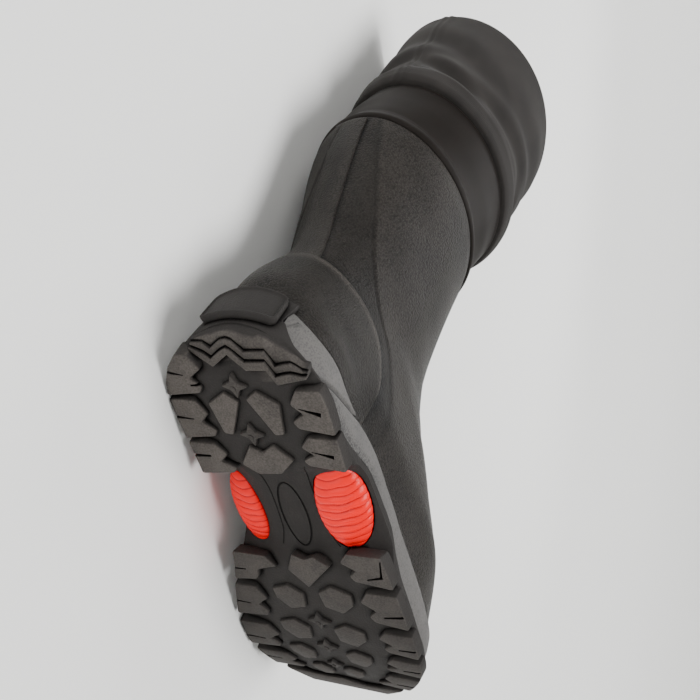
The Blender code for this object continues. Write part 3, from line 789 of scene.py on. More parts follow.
@dataclass(frozen=True)
class FoamRubber(Finish):
    """Grey moulded foam rubber: an even matte skin, faint flow marks, dark scuffs, specks and scratches."""

    light: str = "#656260"
    # Colour of the scuff marks and pits, and of the shade painted into hollows
    scuff_and_shade: str = "#323334"
    dark: str = "#1a1a1a"
    # Grain and knurling, drawn coarser than the real ones so that they show
    grain: float = 1.0
    flow: float = 14.0
    scuff_length: float = 5.0
    scuff_apart: float = 11.0
    hollow_shade_reach: float = 1.6

    def paint(self, tree: Tree, at: Any) -> Inputs:
        """Cloud and mark the grey, grain it, make it dark where the mesh says knurled or scratched, and
        paint shade into hollows.

        Args:
            tree: The material's nodes.
            at: Texture coordinates by name.

        Returns:
            Inputs of the shader.
        """
        clouds = add_node(tree, "TexNoise", {
            "Vector": at["Object"], "Scale": per_mm(self.flow), "Detail": 4.0})
        lines = add_node(tree, "TexVoronoi", {
            "feature": "DISTANCE_TO_EDGE", "Vector": at["Object"], "Scale": per_mm(self.scuff_length)})
        thin = add_node(tree, "MapRange", {"Value": lines, "From Max": 0.02, "To Min": 1.0, "To Max": 0.0})
        rare = add_node(tree, "TexNoise", {
            "Vector": at["Object"], "Scale": per_mm(self.scuff_apart), "Detail": 1.0})
        some = add_node(tree, "MapRange", {"Value": rare, "From Min": 0.64, "From Max": 0.7})
        marks = add_node(tree, "Math", {"operation": "MULTIPLY", 0: thin, 1: some})
        fine = add_node(tree, "TexVoronoi", {
            "Vector": at["Object"], "Scale": per_mm(self.grain), "Randomness": 0.8})
        pits = add_node(tree, "MapRange", {"Value": fine, "From Min": 0.45, "From Max": 0.9, "To Max": 0.5})
        tone = add_node(tree, "Attribute", {"attribute_name": "tone"}).outputs["Fac"]
        specks = add_node(tree, "MapRange", {"Value": fine, "From Min": 0.25, "From Max": 0.7})
        knurl = add_node(tree, "Math", {"operation": "MULTIPLY", "use_clamp": True, 0: tone, 1: specks})
        scratch = add_node(tree, "Math", {"operation": "MULTIPLY", "use_clamp": True, 0: tone, 1: -1.0})
        grey = self.layered(tree, (
            (clouds, self.light), (marks, self.scuff_and_shade), (pits, self.scuff_and_shade), (knurl, self.dark),
            (scratch, self.dark)))
        return {
            # Painted shade in hollows, such as the band's groove
            "Base Color": self.paint_hollow_shade(tree, grey, self.scuff_and_shade, self.hollow_shade_reach),
            "Normal": add_node(tree, "Bump", {"Height": fine, "Strength": 0.5, "Distance": -0.25 * MM}),
        }


@dataclass(frozen=True)
class PadRubber(Finish):
    """Red translucent-looking rubber, gloss moulded: bright crests, with shade painted as deeper red
    between the ribs and in hollows.
    """

    pale: str = "#f90f12"
    # Red of the shade painted between the ribs and in hollows
    deep: str = "#6a0306"
    flow: float = 3.0
    cloud: float = 12.0
    hollow_shade_reach: float = 1.6

    def paint(self, tree: Tree, at: Any) -> Inputs:
        """Paint shade as deeper red between the ribs and in hollows, and ripple the gloss.

        Args:
            tree: The material's nodes.
            at: Texture coordinates by name.

        Returns:
            Inputs of the shader.
        """
        clouds = add_node(tree, "TexNoise", {
            "Vector": at["Object"], "Scale": per_mm(self.cloud), "Detail": 2.0})
        # The valley attribute paints shade as deeper red between the ribs
        valley = add_node(tree, "Attribute", {"attribute_name": "valley"}).outputs["Fac"]
        red = self.layered(tree, ((clouds, self.pale), (valley, self.deep)))
        ripple = add_node(tree, "TexNoise", {
            "Vector": at["Object"], "Scale": per_mm(self.flow), "Detail": 2.0})
        return {
            # Painted shade in the pad's hollows
            "Base Color": self.paint_hollow_shade(tree, red, self.deep, self.hollow_shade_reach),
            "Normal": add_node(tree, "Bump", {"Height": ripple, "Strength": 0.2, "Distance": 0.3 * MM}),
            "Coat Weight": 0.12,
            "Coat Roughness": 0.18,
        }


@dataclass(frozen=True)
class BootRubber(Finish):
    """Charcoal boot rubber with a fine leather-like grain: satin, the grain catching light in specks."""

    pale: str = "#2d2a27"
    deep: str = "#060505"
    # Colour of the highlight painted on the grain's tops along the counter's and the stay's borders and in
    # front of the mould line
    lighter_tone: str = "#504b47"
    # Grain, drawn coarser than the real one so that it shows
    grain: float = 1.1
    fine: float = 0.6
    cloud: float = 32.0
    depth: float = 0.4
    hollow_shade_reach: float = 3.2

    def paint(self, tree: Tree, at: Any) -> Inputs:
        """Cloud the charcoal, press the grain into it, and paint shade lines and highlights where the
        mesh's tone says so.

        Args:
            tree: The material's nodes.
            at: Texture coordinates by name.

        Returns:
            Inputs of the shader.
        """
        clouds = add_node(tree, "TexNoise", {
            "Vector": at["Object"], "Scale": per_mm(self.cloud), "Detail": 3.0})
        cells = add_node(tree, "TexVoronoi", {
            "Vector": at["Object"], "Scale": per_mm(self.grain), "Randomness": 1.0})
        pores = add_node(tree, "TexNoise", {
            "Vector": at["Object"], "Scale": per_mm(self.fine), "Detail": 2.0})
        relief = add_node(tree, "Math", {"operation": "MULTIPLY_ADD", 0: cells, 1: -1.2, 2: pores})
        mottle = add_node(tree, "Math", {"operation": "MULTIPLY_ADD", 0: relief, 1: 0.55, 2: clouds})
        level = add_node(tree, "MapRange", {"Value": mottle, "From Min": 0.15, "From Max": 0.85})
        # The tone paints light and shade: above 0 a pale highlight on the grain's tops, below 0 a dark
        # shade line
        tone = add_node(tree, "Attribute", {"attribute_name": "tone"}).outputs["Fac"]
        tops = add_node(tree, "MapRange", {
            "Value": relief, "From Min": -0.45, "From Max": 0.45, "To Min": 0.25})
        painted_highlight = add_node(tree, "Math", {"operation": "MULTIPLY", "use_clamp": True, 0: tone, 1: tops})
        edge_shade = add_node(tree, "Math", {"operation": "MULTIPLY", "use_clamp": True, 0: tone, 1: -1.0})
        charcoal = self.layered(tree, ((level, self.pale), (painted_highlight, self.lighter_tone), (edge_shade, self.deep)))
        return {
            # Painted shade in hollows and where the pieces meet
            "Base Color": self.paint_hollow_shade(tree, charcoal, self.deep, self.hollow_shade_reach),
            "Roughness": add_node(tree, "MapRange", {
                "Value": pores, "To Min": self.roughness + 0.1, "To Max": self.roughness - 0.08}),
            "Normal": add_node(tree, "Bump", {
                "Height": relief, "Strength": 0.75, "Distance": self.depth * MM}),
        }


@dataclass(frozen=True)
class SmoothSkin(Finish):
    """Smooth sheet, such as rubber tape or paper: an even skin, faintly clouded and hardly rippled."""

    pale: str
    cloud: float
    grain: float
    detail: float
    strength: float
    depth: float

    def paint(self, tree: Tree, at: Any) -> Inputs:
        """Cloud the colour and ripple it slightly.

        Args:
            tree: The material's nodes.
            at: Texture coordinates by name.

        Returns:
            Inputs of the shader.
        """
        clouds = add_node(tree, "TexNoise", {
            "Vector": at["Object"], "Scale": per_mm(self.cloud), "Detail": 5.0})
        fine = add_node(tree, "TexNoise", {
            "Vector": at["Object"], "Scale": per_mm(self.grain), "Detail": self.detail})
        return {
            "Base Color": self.layered(tree, ((clouds, self.pale),)),
            "Normal": add_node(tree, "Bump", {
                "Height": fine, "Strength": self.strength, "Distance": self.depth * MM}),
        }


@dataclass(frozen=True)
class KnitCloth(Finish):
    """Knitted nylon face on foam: matte, with wales up the piece and a soft sheen at the edges."""

    pale: str = "#302d2b"
    # Width of a wale, drawn coarser than the real one so that it shows, and the size of the piece
    wale: float = 0.9
    around: float = 430.0
    along: float = 130.0
    sheen: float = 0.05
    cloud: float = 22.0
    # Scale at which a wave texture has one band a unit
    one_band: float = 0.31416

    def paint(self, tree: Tree, at: Any) -> Inputs:
        """Lay wales and courses on the UV map.

        Args:
            tree: The material's nodes.
            at: Texture coordinates by name.

        Returns:
            Inputs of the shader.
        """
        sized = add_node(tree, "Mapping", {
            "Vector": at["UV"], "Scale": (self.around / self.wale, self.along / self.wale, 1.0)})
        wales, courses = (
            add_node(tree, "TexWave", {
                "bands_direction": axis, "Vector": sized, "Scale": self.one_band, "Distortion": wobble,
                "Detail": 1.0}).outputs["Fac"]
            for axis, wobble in (("X", 0.6), ("Y", 0.8)))
        stitch = add_node(tree, "Math", {"operation": "MULTIPLY", 0: wales, 1: courses})
        clouds = add_node(tree, "TexNoise", {
            "Vector": at["Object"], "Scale": per_mm(self.cloud), "Detail": 4.0})
        tone = add_node(tree, "Math", {"operation": "MULTIPLY_ADD", 0: stitch, 1: 0.45, 2: clouds})
        level = add_node(tree, "MapRange", {"Value": tone, "From Min": 0.35, "From Max": 1.0})
        return {
            "Base Color": self.layered(tree, ((level, self.pale),)),
            "Normal": add_node(tree, "Bump", {"Height": stitch, "Strength": 0.3, "Distance": 0.15 * MM}),
            "Sheen Weight": self.sheen,
            "Sheen Roughness": 0.5,
        }


# Dull near-black tread with greyed faces
SOLE_RUBBER = SoleRubber("moulded_sole_rubber", "#302e2d", 0.58, 1.14)
# Mid grey band that sets the sole off from the upper
FOAM_RUBBER = FoamRubber("grey_foam_rubber_skin", "#525150", 0.58, 1.25)
# The one bright colour: clear red with soft highlights on its ribs
PAD_RUBBER = PadRubber("red_gloss_rubber", "#f0080b", 0.28, 1.2)
# Charcoal with a speckled satin sheen
BOOT_RUBBER = BootRubber("grained_boot_rubber", "#110f0e", 0.42, 1.2)
# Smooth brownish black, darker than the shaft and the leg
TAPE_RUBBER = SmoothSkin("smooth_tape_rubber", "#161311", 0.55, 1.14, "#201c1a", 18.0, 0.8, 3.0, 0.2, 0.12)
# Flat dark grey that takes no highlight
NEOPRENE = KnitCloth("knit_faced_neoprene", "#232120", 0.85, 1.18)
# Paler brushed knit inside the shaft and the leg
LINING = KnitCloth("brushed_knit_lining", "#2f2e2d", 0.95, 1.46, "#454341", 1.6, 380.0, 240.0, 0.35)
# Bluish black cloth deep in the boot
FOOTBED_CLOTH = KnitCloth("footbed_cloth", "#232325", 0.92, 1.46, "#3a3a3d", 1.4, 90.0, 270.0, 0.2)
# Near-white ground that keeps the outline clear
PAPER = SmoothSkin("studio_paper", "#f4f4f2", 0.9, 1.45, "#f4f4f2", 18.0, 2.0, 2.0, 0.05, 0.1)


@dataclass
class SubAssembly:
    """What every sub-assembly of the boot does: build its pieces, then dress them."""

    # Edges sharper than this, in degrees, stay crisp
    crease_angle: float = 60.0

    def build(self) -> list[Object]:
        """Make the bare pieces."""
        raise NotImplementedError

    def dress(self, pieces: Sequence[Object]) -> None:
        """Give the pieces their finishes and tie them to the frame."""
        raise NotImplementedError

    def lay(self, name: str, bm: BMesh) -> Object:
        """Lay a mesh where the boot lies.

        Args:
            name: Name of the piece.
            bm: Mesh in the boot's millimetres, used up.

        Returns:
            The bare piece.
        """
        bmesh.ops.transform(bm, matrix=PLACE, verts=bm.verts)
        mesh = to_mesh(name, bm)
        mesh.shade_smooth()
        mesh.set_sharp_from_angle(angle=math.radians(self.crease_angle))
        return link(name, mesh)

    def tie(self, piece: Object, finishes: Sequence[Finish], slot: Slot, node: str) -> None:
        """Dress one piece and tie it to the frame.

        Args:
            piece: Bare piece.
            finishes: Finishes in the order of the mesh's material slots.
            slot: Record slot that the piece takes its finish from; not used.
            node: CAD node that the piece replaces.
        """
        for finish in finishes:
            piece.data.materials.append(finish.material())
        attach(piece, "root")
        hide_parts(node)


@dataclass(frozen=True)
class SideLug:
    """A lug at the sole's side: where it sits and how its sipes run.

    The sipes are rows of start and end along and across the lug, then the width at both ends.
    Along is 0 at the rear and 1 at the front; across is 0 inside and 1 at the outer edge.
    """

    side: Side
    rear: float
    front: float
    inner_rear: float
    inner_front: float
    sipes: Rows = ()
    lean: float = 0.0

    # Inner corners: share of the length, share from the inner rear to the inner front, step outwards
    teeth: ClassVar[Rows] = (
        (0.95, 1, 2.5), (0.78, 1, 0), (0.58, 0.5, 6.5), (0.36, 0, 0), (0.02, 0, 5.5),
    )
    outer_shares: ClassVar[Sequence[float]] = (0.0, 0.35, 0.7, 1.0)
    outer_shift: ClassVar[float] = 1.0
    outer_spread: ClassVar[float] = 0.04

    def place(self, along: float, across: float, overhang: float) -> tuple[float, float]:
        """Plan point of a place on the lug.

        Args:
            along: Share of the way from the rear to the front.
            across: Share of the way from the inner to the outer edge.
            overhang: How far the lug stands out past the sole's edge.

        Returns:
            The x and y of the point.
        """
        x = self.rear + (self.front - self.rear) * along
        outer = float(LAST.edge_y(x, self.side)) + self.side * overhang
        inner = self.inner_rear + (self.inner_front - self.inner_rear) * along
        return x, inner + (outer - inner) * across

    def outline(self, overhang: float) -> list[tuple[float, float]]:
        """Outline in plan: outer edge along the sole, inner edge with a notch between two teeth.

        Args:
            overhang: How far the lug stands out past the sole's edge.

        Returns:
            Corners in order.
        """
        length = self.front - self.rear
        points = []
        for share in self.outer_shares:
            x, y = self.place(share, 1.0, overhang)
            points.append((x + self.outer_shift + self.outer_spread * length * (share - 0.5), y))
        for share, ahead, step in self.teeth:
            inner = self.inner_rear + (self.inner_front - self.inner_rear) * ahead
            points.append((self.rear + length * share, inner + self.side * step))
        return points


@dataclass(frozen=True)
class Pod:
    """An arch pad: its side, its place on the sloped side of the sole and its half sizes."""

    name: str
    side: Side
    x: float
    share: float
    length: float
    width: float
    depth: float

    def axes(self) -> tuple[Vector, Vector, Vector, Vector]:
        """Find how the pad sits on the slope.

        Returns:
            Its centre, and its directions along, across and out of the slope.
        """
        centre = float(blend(LAST.plan, self.x)[0])
        edge = float(LAST.edge_y(self.x, self.side)) - centre
        flat = edge * float(LAST.level(Level.FLAT, self.x))
        low = Vector((self.x, centre + flat, float(LAST.level(Level.PLATE, self.x))))
        high = Vector((self.x, centre + edge, float(LAST.level(Level.SIDE, self.x))))
        along = Vector((1.0, 0.0, 0.0))
        across = (high - low).normalized()
        out = across.cross(along)
        return low.lerp(high, self.share), along, across, out if out.z < 0.0 else -out


PODS = (
    Pod("pod_medial", Side.MEDIAL, 130, 0.66, 28, 13.4, 5),
    Pod("pod_lateral", Side.LATERAL, 116, 0.38, 32, 14.3, 5.6),
)


@dataclass
class ArchPads(SubAssembly):
    """The two red ribbed pads in the arch."""

    ribs: int = 12
    rise: float = 1.7
    # Strength of the shade painted between the ribs, and up to which share of a rib's rise it reaches
    valley_painted_shade: float = 0.85
    valley_wide: float = 0.5
    rings: int = 192
    pocket_rings: int = 32
    sides: int = 40
    bow: float = 0.05
    wobble: float = 0.012
    crest: float = 0.7
    scallop: float = 0.018

    def ball(self, pod: Pod, grow: float, ribbed: bool) -> BMesh:
        """Ball operator's sphere pulled to the pad's form.

        Args:
            pod: Which pad.
            grow: Added to every half size.
            ribbed: Whether ribs run across it.

        Returns:
            The closed form.
        """
        middle, along, across, out = pod.axes()
        bm = bmesh.new()
        count = self.rings if ribbed else self.pocket_rings
        bmesh.ops.create_uvsphere(bm, u_segments=self.sides, v_segments=count, radius=1.0)
        valley = bm.verts.layers.float.new("valley")
        for vert in bm.verts:
            x, y, z = vert.co
            wave = 0.0
            vert[valley] = 0.0
            if ribbed:
                phase = z + self.bow * x * x + self.wobble * math.sin(7.0 * x + 9.0 * z)
                wave = abs(math.sin(0.5 * math.pi * self.ribs * (phase + 1.0))) ** self.crest
                # Painted shade: the red deepens between the ribs
                vert[valley] = self.valley_painted_shade * max(0.0, 1.0 - wave / self.valley_wide)
            lift = self.rise * wave * max(0.0, y) * math.sqrt(max(0.0, 1.0 - z * z))
            scallop = 1.0 + self.scallop * (wave - 0.6)
            vert.co = (
                middle
                + along * z * (pod.length + grow)
                + across * x * scallop * (pod.width + grow)
                + out * (y * (pod.depth + grow) + lift)
            )
        return face_out(bm)

    def build(self) -> list[Object]:
        """Make both pads."""
        return [self.lay(f"arch_{pod.name}", self.ball(pod, 0.0, True)) for pod in PODS]

    def dress(self, pieces: Sequence[Object]) -> None:
        """Dress both pads in red rubber."""
        for piece, pod in zip(pieces, PODS):
            self.tie(piece, [PAD_RUBBER], Slot.PAD, pod.name)


@dataclass
class Outsole(SubAssembly):
    """Lugged black outsole with its crash pad, heel wrap, oval and moulded lines."""

    stations: int = 150
    lug_embed: float = 2.0
    lug_draft: float = 0.7
    lug_overhang: float = 1.6
    lug_round: float = 1.5
    lean_reach: float = 6.0
    sipe_depth: float = 3.4
    sipe_clear: float = 1.5
    line_radius: float = 0.5
    line_sides: int = 8
    line_steps: int = 48
    line_raise: float = 0.1
    pocket_gap: float = 0.9
    crease_angle: float = 28.0

    # Heel wrap: height, stations of its ends, how it tucks in at its border
    wrap_high: float = 38.2
    wrap_span_low: float = 0.087
    wrap_span_high: float = 0.096
    wrap_columns: int = 81
    wrap_rows: int = 22
    wrap_proud: float = 0.05
    wrap_foot: float = 1.0
    wrap_arc: float = 60.0
    wrap_wall: float = 24.0
    wrap_tuck: float = 0.9
    wrap_border: float = 1.2

    # Wear of the crash pad up to a height, and of the stars; painted shade that greys the tread less
    # towards the toe, its strength, start and length; how high the tread is worn, and its fade
    pad_wear: float = 0.7
    pad_high: float = 8.0
    star_wear: float = 0.5
    toe_painted_shade: float = 0.55
    toe_shade_from: float = 90.0
    toe_shade_over: float = 120.0
    worn_high: float = 2.0
    worn_fade: float = 1.7

    # Half section of the plate: share from flat to edge, share up the slope, share up the side wall
    half_section: Rows = (
        (0, 0, 0), (0.25, 0.22, 0), (0.5, 0.47, 0), (0.75, 0.73, 0), (0.93, 0.92, 0),
        (1, 1, 0.14), (1, 1, 0.5), (1, 1, 0.9), (0.98, 1, 1),
    )
    ledge: float = 0.82
    # Middle of the section: share of the flat half width, share of the raise
    middle_section: Rows = ((0, 1), (0.3, 1), (0.6, 1), (0.76, 0.5), (0.9, 0.1))
    # Raise of the tread's middle over the plate: x, raise
    middle_raise: Rows = (
        (0, 0), (14, 0.6), (26, 3.2), (80, 3.2), (93, 0), (146, 0), (156, 2.6),
        (168, 3.2), (268, 3.2), (290, 1.6), (300, 0.4),
    )

    side_lugs: Sequence[SideLug] = (
        SideLug(Side.MEDIAL, 11, 36.5, 19, 21.5,
                ((0.42, 1.15, 0.50, 0.46, 2.6, 0.5), (0.72, -0.15, 0.74, 0.3, 1.7, 1.1))),
        SideLug(Side.MEDIAL, 39.5, 65, 24, 22.5, ((0.46, 1.15, 0.50, 0.48, 2.4, 0.6),)),
        SideLug(Side.MEDIAL, 68.5, 90, 22, 19.5, ((0.44, 1.15, 0.41, 0.5, 2.6, 1.4),)),
        SideLug(Side.LATERAL, 29.5, 55.5, -25, -23.5, ((0.55, 0.8, 0.43, 0.24, 2.8, 0.3),)),
        SideLug(Side.LATERAL, 59, 79.5, -23.5, -22.5, ((0.57, 0.82, 0.45, 0.28, 2.4, 0.3),)),
        SideLug(Side.MEDIAL, 151.5, 175.5, 18.5, 33, ((0.63, 1.15, 0.60, 0.6, 1.9, 0.9),), 4.5),
        SideLug(Side.MEDIAL, 181, 209, 33.5, 36, ((0.56, 1.15, 0.58, 0.52, 1.9, 0.9),)),
        SideLug(Side.MEDIAL, 218, 244, 37, 40, ((0.64, 1.15, 0.63, 0.42, 2.1, 1.1),)),
        SideLug(Side.MEDIAL, 251, 270, 36, 33, ((0.5, 1.15, 0.5, 0.5, 1.8, 0.9),)),
        SideLug(Side.LATERAL, 140.5, 164.5, -23.5, -27,
                ((0.14, 0.97, 0.66, 0.84, 0.8, 1.3), (0.65, 0.87, 0.8, 0.46, 2, 0.9)), 5),
        SideLug(Side.LATERAL, 171, 197.5, -28.5, -31.5, ((0.62, 0.98, 0.72, 0.45, 2, 1.2),)),
        SideLug(Side.LATERAL, 204.5, 226, -32, -33, ((0.66, 0.98, 0.7, 0.48, 1.8, 1.1),)),
        SideLug(Side.LATERAL, 232, 249, -30, -28, ((0.62, 0.98, 0.66, 0.5, 1.6, 1),)),
        SideLug(Side.LATERAL, 255, 274, -22, -15, ((0.6, 1, 0.62, 0.5, 1.5, 1),)),
    )

    # Outlines of the middle lugs about their own centres, medial hand
    outlines: ClassVar[dict[LugKind, Rows]] = {
        LugKind.KITE: ((-14, -3), (-8.5, -10), (13.4, 0), (12.6, 5), (-6.5, 8)),
        LugKind.HEXAGON: ((-9.5, -1), (-3.5, -9.8), (7.5, -8.5), (10.8, 2), (3, 9.5), (-5, 10)),
        LugKind.CHEVRON: ((-4.5, 0), (-10.5, -7.5), (-1, -16.5), (9, -7), (10.5, 6.5), (4.5, 15),
                          (-8.5, 6.5)),
        LugKind.ARROW: ((-9, 0.5), (-12.5, -6), (-5.5, -14.5), (15, 3.5), (1.5, 13.5), (-12.5, 7.5)),
    }
    star_long: float = 7.2
    star_short: float = 2.2
    nub: float = 1.5
    nub_flare: float = 1.1
    nub_high: float = 0.7
    nub_sunk: float = 0.1
    nub_ahead: float = 1.2
    nub_aside: float = 0.8
    arrow_lean: float = 5.0
    star_round: float = 0.3
    middle_round: float = 0.75

    # Middle lugs: outline, centre x, centre y, hand, size
    middle_lugs: Sequence[tuple[LugKind, float, float, int, float]] = (
        (LugKind.STAR, 29.5, 2.5, 1, 1),
        (LugKind.STAR, 60.5, 2.5, 1, 1),
        (LugKind.KITE, 48, 13.5, 1, 1),
        (LugKind.KITE, 46, -11.5, -1, 1),
        (LugKind.CHEVRON, 77, 0, 1, 1),
        (LugKind.ARROW, 159.5, -2, 1, 0.98),
        (LugKind.HEXAGON, 185, 17, 1, 1),
        (LugKind.HEXAGON, 181.5, -13.5, -1, 1.05),
        (LugKind.STAR, 204.5, 3.5, 1, 1.05),
        (LugKind.HEXAGON, 216.5, 22, 1, 1),
        (LugKind.HEXAGON, 214, -14, -1, 1),
        (LugKind.STAR, 231, 6, 1, 1),
        (LugKind.HEXAGON, 243, 26.5, 1, 0.85),
        (LugKind.HEXAGON, 240, -12.5, -1, 0.85),
        (LugKind.STAR, 254, 8.5, 1, 0.8),
        (LugKind.HEXAGON, 264.5, 20, 1, 0.7),
        (LugKind.HEXAGON, 262.5, -1.5, -1, 0.7),
    )
    # Zigzag front of the heel's crash pad, from the medial to the lateral end: x, y, height
    crash_front: Rows = (
        (12, 25, 5), (18.4, 11, 0.9), (11, 1, 1.2), (19.4, -7.5, 0.3), (18.8, -18.5, 0.2),
        (27, -22.5, 0), (23.2, -38.4, 0.6),
    )
    # Section of the pad's steps: which of its places (front, first step, groove, second step), ahead of
    # it, then how many rises, how many grooves and how far up
    crash_section: Rows = (
        (0, 0, 0, 0, 8), (0, 0, 0, 0, 0.4), (0, -0.4, 0, 0, 0), (1, 0.2, 0, 0, 0.3),
        (1, 0, 0, 0, 0.6), (1, -0.1, 1, 1, 0), (2, 0, 1, 1, 0), (2, -0.1, 1, 0, 0.3),
        (2, -0.4, 1, 0, 0), (3, 1.1, 1, 0, 0.4), (3, 0.9, 1, 0, 0.7), (3, 0.8, 2, 1, 0),
        (3, 0.1, 2, 1, 0), (3, 0, 2, 0, 0.5),
    )
    crash_cuts: int = 6
    crash_step: float = 4.6
    crash_rise: float = 1.9
    crash_groove: float = 0.9
    crash_gap: float = 0.9
    crash_inset: float = 0.8
    crash_least: float = 3.0
    crash_share: float = 0.36
    dome_steps: int = 8
    dome_behind: float = 0.5
    dome_long: float = 0.6
    dome_low: float = 0.4
    dome_high: float = 1.0
    dome_under: float = 2.0
    # Toe lug: side, x of both ends of its outer edge; then its rear corners
    tip_edges: Sequence[tuple[Side, float, float]] = (
        (Side.MEDIAL, 276, 292),
        (Side.LATERAL, 292, 280),
    )
    tip_rear: Rows = ((283, -2), (277, 12), (279, 24))
    tip_overhang: float = 0.6
    tip_draft: float = 0.3
    # Oval on the shank: centre x, centre y, half length, half width
    oval: tuple[float, float, float, float] = (123.5, -0.5, 23.5, 7.8)
    oval_steps: int = 73
    oval_radius: float = 0.65
    # Moulded lines beside the arch pads: x, y
    shank_lines: Sequence[Rows] = (
        ((88.5, 17.5), (97, 11.5), (112, 9.5), (134, 10), (148, 13.5)),
        ((81.5, -20.5), (91, -17.4), (105, -16.8), (134, -18.6), (145, -22.5)),
    )

    def floor_at(self, x: Any) -> Array:
        """Height of the tread's floor between the middle lugs."""
        return LAST.level(Level.PLATE, x) - blend(self.middle_raise, x)[..., 0]

    def plate(self) -> BMesh:
        """Plate with a raised middle, sloped sides in the arch, a side wall and a ledge on top.

        Returns:
            The closed plate.
        """
        u = np.linspace(0.0, 1.0, self.stations)
        x, medial = LAST.edge(u, Side.MEDIAL)
        lateral = LAST.edge(u, Side.LATERAL)[1]
        centre = blend(LAST.plan, x)[:, 0]
        low, side, flat = (LAST.level(which, x) for which in (Level.PLATE, Level.SIDE, Level.FLAT))
        top = LAST.band_edge(BandEdge.LOW, x)
        halves = []
        for edge in (medial, lateral):
            reach = edge - centre
            line = []
            for share, lift in self.middle_section:
                line.append(stack(x, centre + reach * flat * share, low + (self.floor_at(x) - low) * lift))
            for out, slope, up in self.half_section:
                y = centre + reach * (flat + (1.0 - flat) * out)
                line.append(stack(x, y, low + (side - low) * slope + (top - side) * up))
            line.append(stack(x, centre + reach * self.ledge, top))
            halves.append(line)
        return ring_mesh(halves[0] + halves[1][:0:-1], ends=False)

    def outline_of(self, kind: LugKind) -> Rows:
        """Outline of a middle lug about its own centre, medial hand.

        Args:
            kind: Which form.

        Returns:
            Corners in order.
        """
        if kind is not LugKind.STAR:
            return self.outlines[kind]
        corners = []
        for i in range(8):
            turn = math.radians(45.0 * i)
            reach = self.star_short * math.sqrt(2.0) if i % 2 else self.star_long
            corners.append((reach * math.cos(turn), reach * math.sin(turn)))
        return corners

    def block(self, outline: Rows, draft: float, lean: float = 0.0, share: float = 1.0) -> BMesh:
        """Raise one lug: a face at the tread, pulled into the plate with a draft and rounded.

        Args:
            outline: Plan of the tread face.
            draft: How much the foot spreads.
            lean: How far the rear wall leans in under the tread face.
            share: Share of the usual rounding.

        Returns:
            The closed lug.
        """
        points = np.asarray(outline, float)
        middle = points.mean(axis=0)
        bm, face, feet = pull([(px, py, float(LAST.spring(px))) for px, py in points])
        for vert in feet:
            away = np.array(vert.co[:2]) - middle
            spread = middle + away * (1.0 + draft / np.linalg.norm(away))
            spread[0] += lean * float(ease(-away[0] / self.lean_reach))
            foot = float(LAST.level(Level.PLATE, vert.co.x)) + self.lug_embed
            vert.co = (spread[0], spread[1], foot)
        rounded = set(face.edges)
        for vert in face.verts:
            rounded.update(vert.link_edges)
        bmesh.ops.bevel(bm, geom=list(rounded), offset=share * self.lug_round, offset_type="OFFSET",
                        segments=2, profile=0.5, affect="EDGES", material=-1, clamp_overlap=True)
        return face_out(bm)

    def wedge(self, start: tuple[float, float], end: tuple[float, float],
              widths: tuple[float, float]) -> BMesh:
        """One sipe's cutting wedge, from under the tread to the sipe's floor.

        Args:
            start: Plan point where the sipe starts.
            end: Plan point where it ends.
            widths: Its width at both ends.

        Returns:
            The closed wedge.
        """
        a, b = Vector(start), Vector(end)
        across = (b - a).orthogonal().normalized()
        near, far = across * widths[0] / 2, across * widths[1] / 2
        plan = (a + near, b + far, b - far, a - near)
        low = min(float(LAST.spring(p.x)) for p in plan) - self.sipe_clear
        bm, _, floor = pull([(p.x, p.y, low) for p in plan])
        for vert in floor:
            vert.co.z = float(LAST.spring(vert.co.x)) + self.sipe_depth
        return face_out(bm)

    def lugs(self) -> BMesh:
        """All lugs, with the sipes of the side lugs cut into them.

        Returns:
            The lugs in one mesh.
        """
        bm = bmesh.new()
        for lug in self.side_lugs:
            block = self.block(lug.outline(self.lug_overhang), self.lug_draft, lug.lean)
            for along_0, across_0, along_1, across_1, width_0, width_1 in lug.sipes:
                start = lug.place(along_0, across_0, self.lug_overhang)
                end = lug.place(along_1, across_1, self.lug_overhang)
                block = carve(block, self.wedge(start, end, (width_0, width_1)))
            join(bm, block)
        for kind, cx, cy, hand, size in self.middle_lugs:
            outline = [(cx + size * px, cy + size * hand * py) for px, py in self.outline_of(kind)]
            lean = self.arrow_lean if kind is LugKind.ARROW else 0.0
            share = self.star_round if kind is LugKind.STAR else self.middle_round
            join(bm, self.block(outline, 2.0 * self.lug_draft, lean, share))
        tip = [
            (x, float(LAST.edge_y(x, side)) + side * self.tip_overhang)
            for side, *ends in self.tip_edges
            for x in ends
        ]
        return join(bm, self.block([*tip, *self.tip_rear], self.tip_draft))

    def stars(self) -> list[tuple[float, float, float]]:
        """Centre x, centre y and size of each star lug."""
        return [(cx, cy, size) for kind, cx, cy, _, size in self.middle_lugs if kind is LugKind.STAR]

    def nubs(self) -> BMesh:
        """Small round mould marks on the star lugs.

        Returns:
            The marks in one mesh.
        """
        bm = bmesh.new()
        for cx, cy, size in self.stars():
            radius = self.nub * size
            height = float(LAST.spring(cx)) + self.nub_sunk
            at = Matrix.Translation((cx + self.nub_ahead * size, cy + self.nub_aside, height))
            bmesh.ops.create_cone(bm, cap_ends=True, segments=20, radius1=radius,
                                  radius2=radius * self.nub_flare, depth=self.nub_high, matrix=at)
        return bm

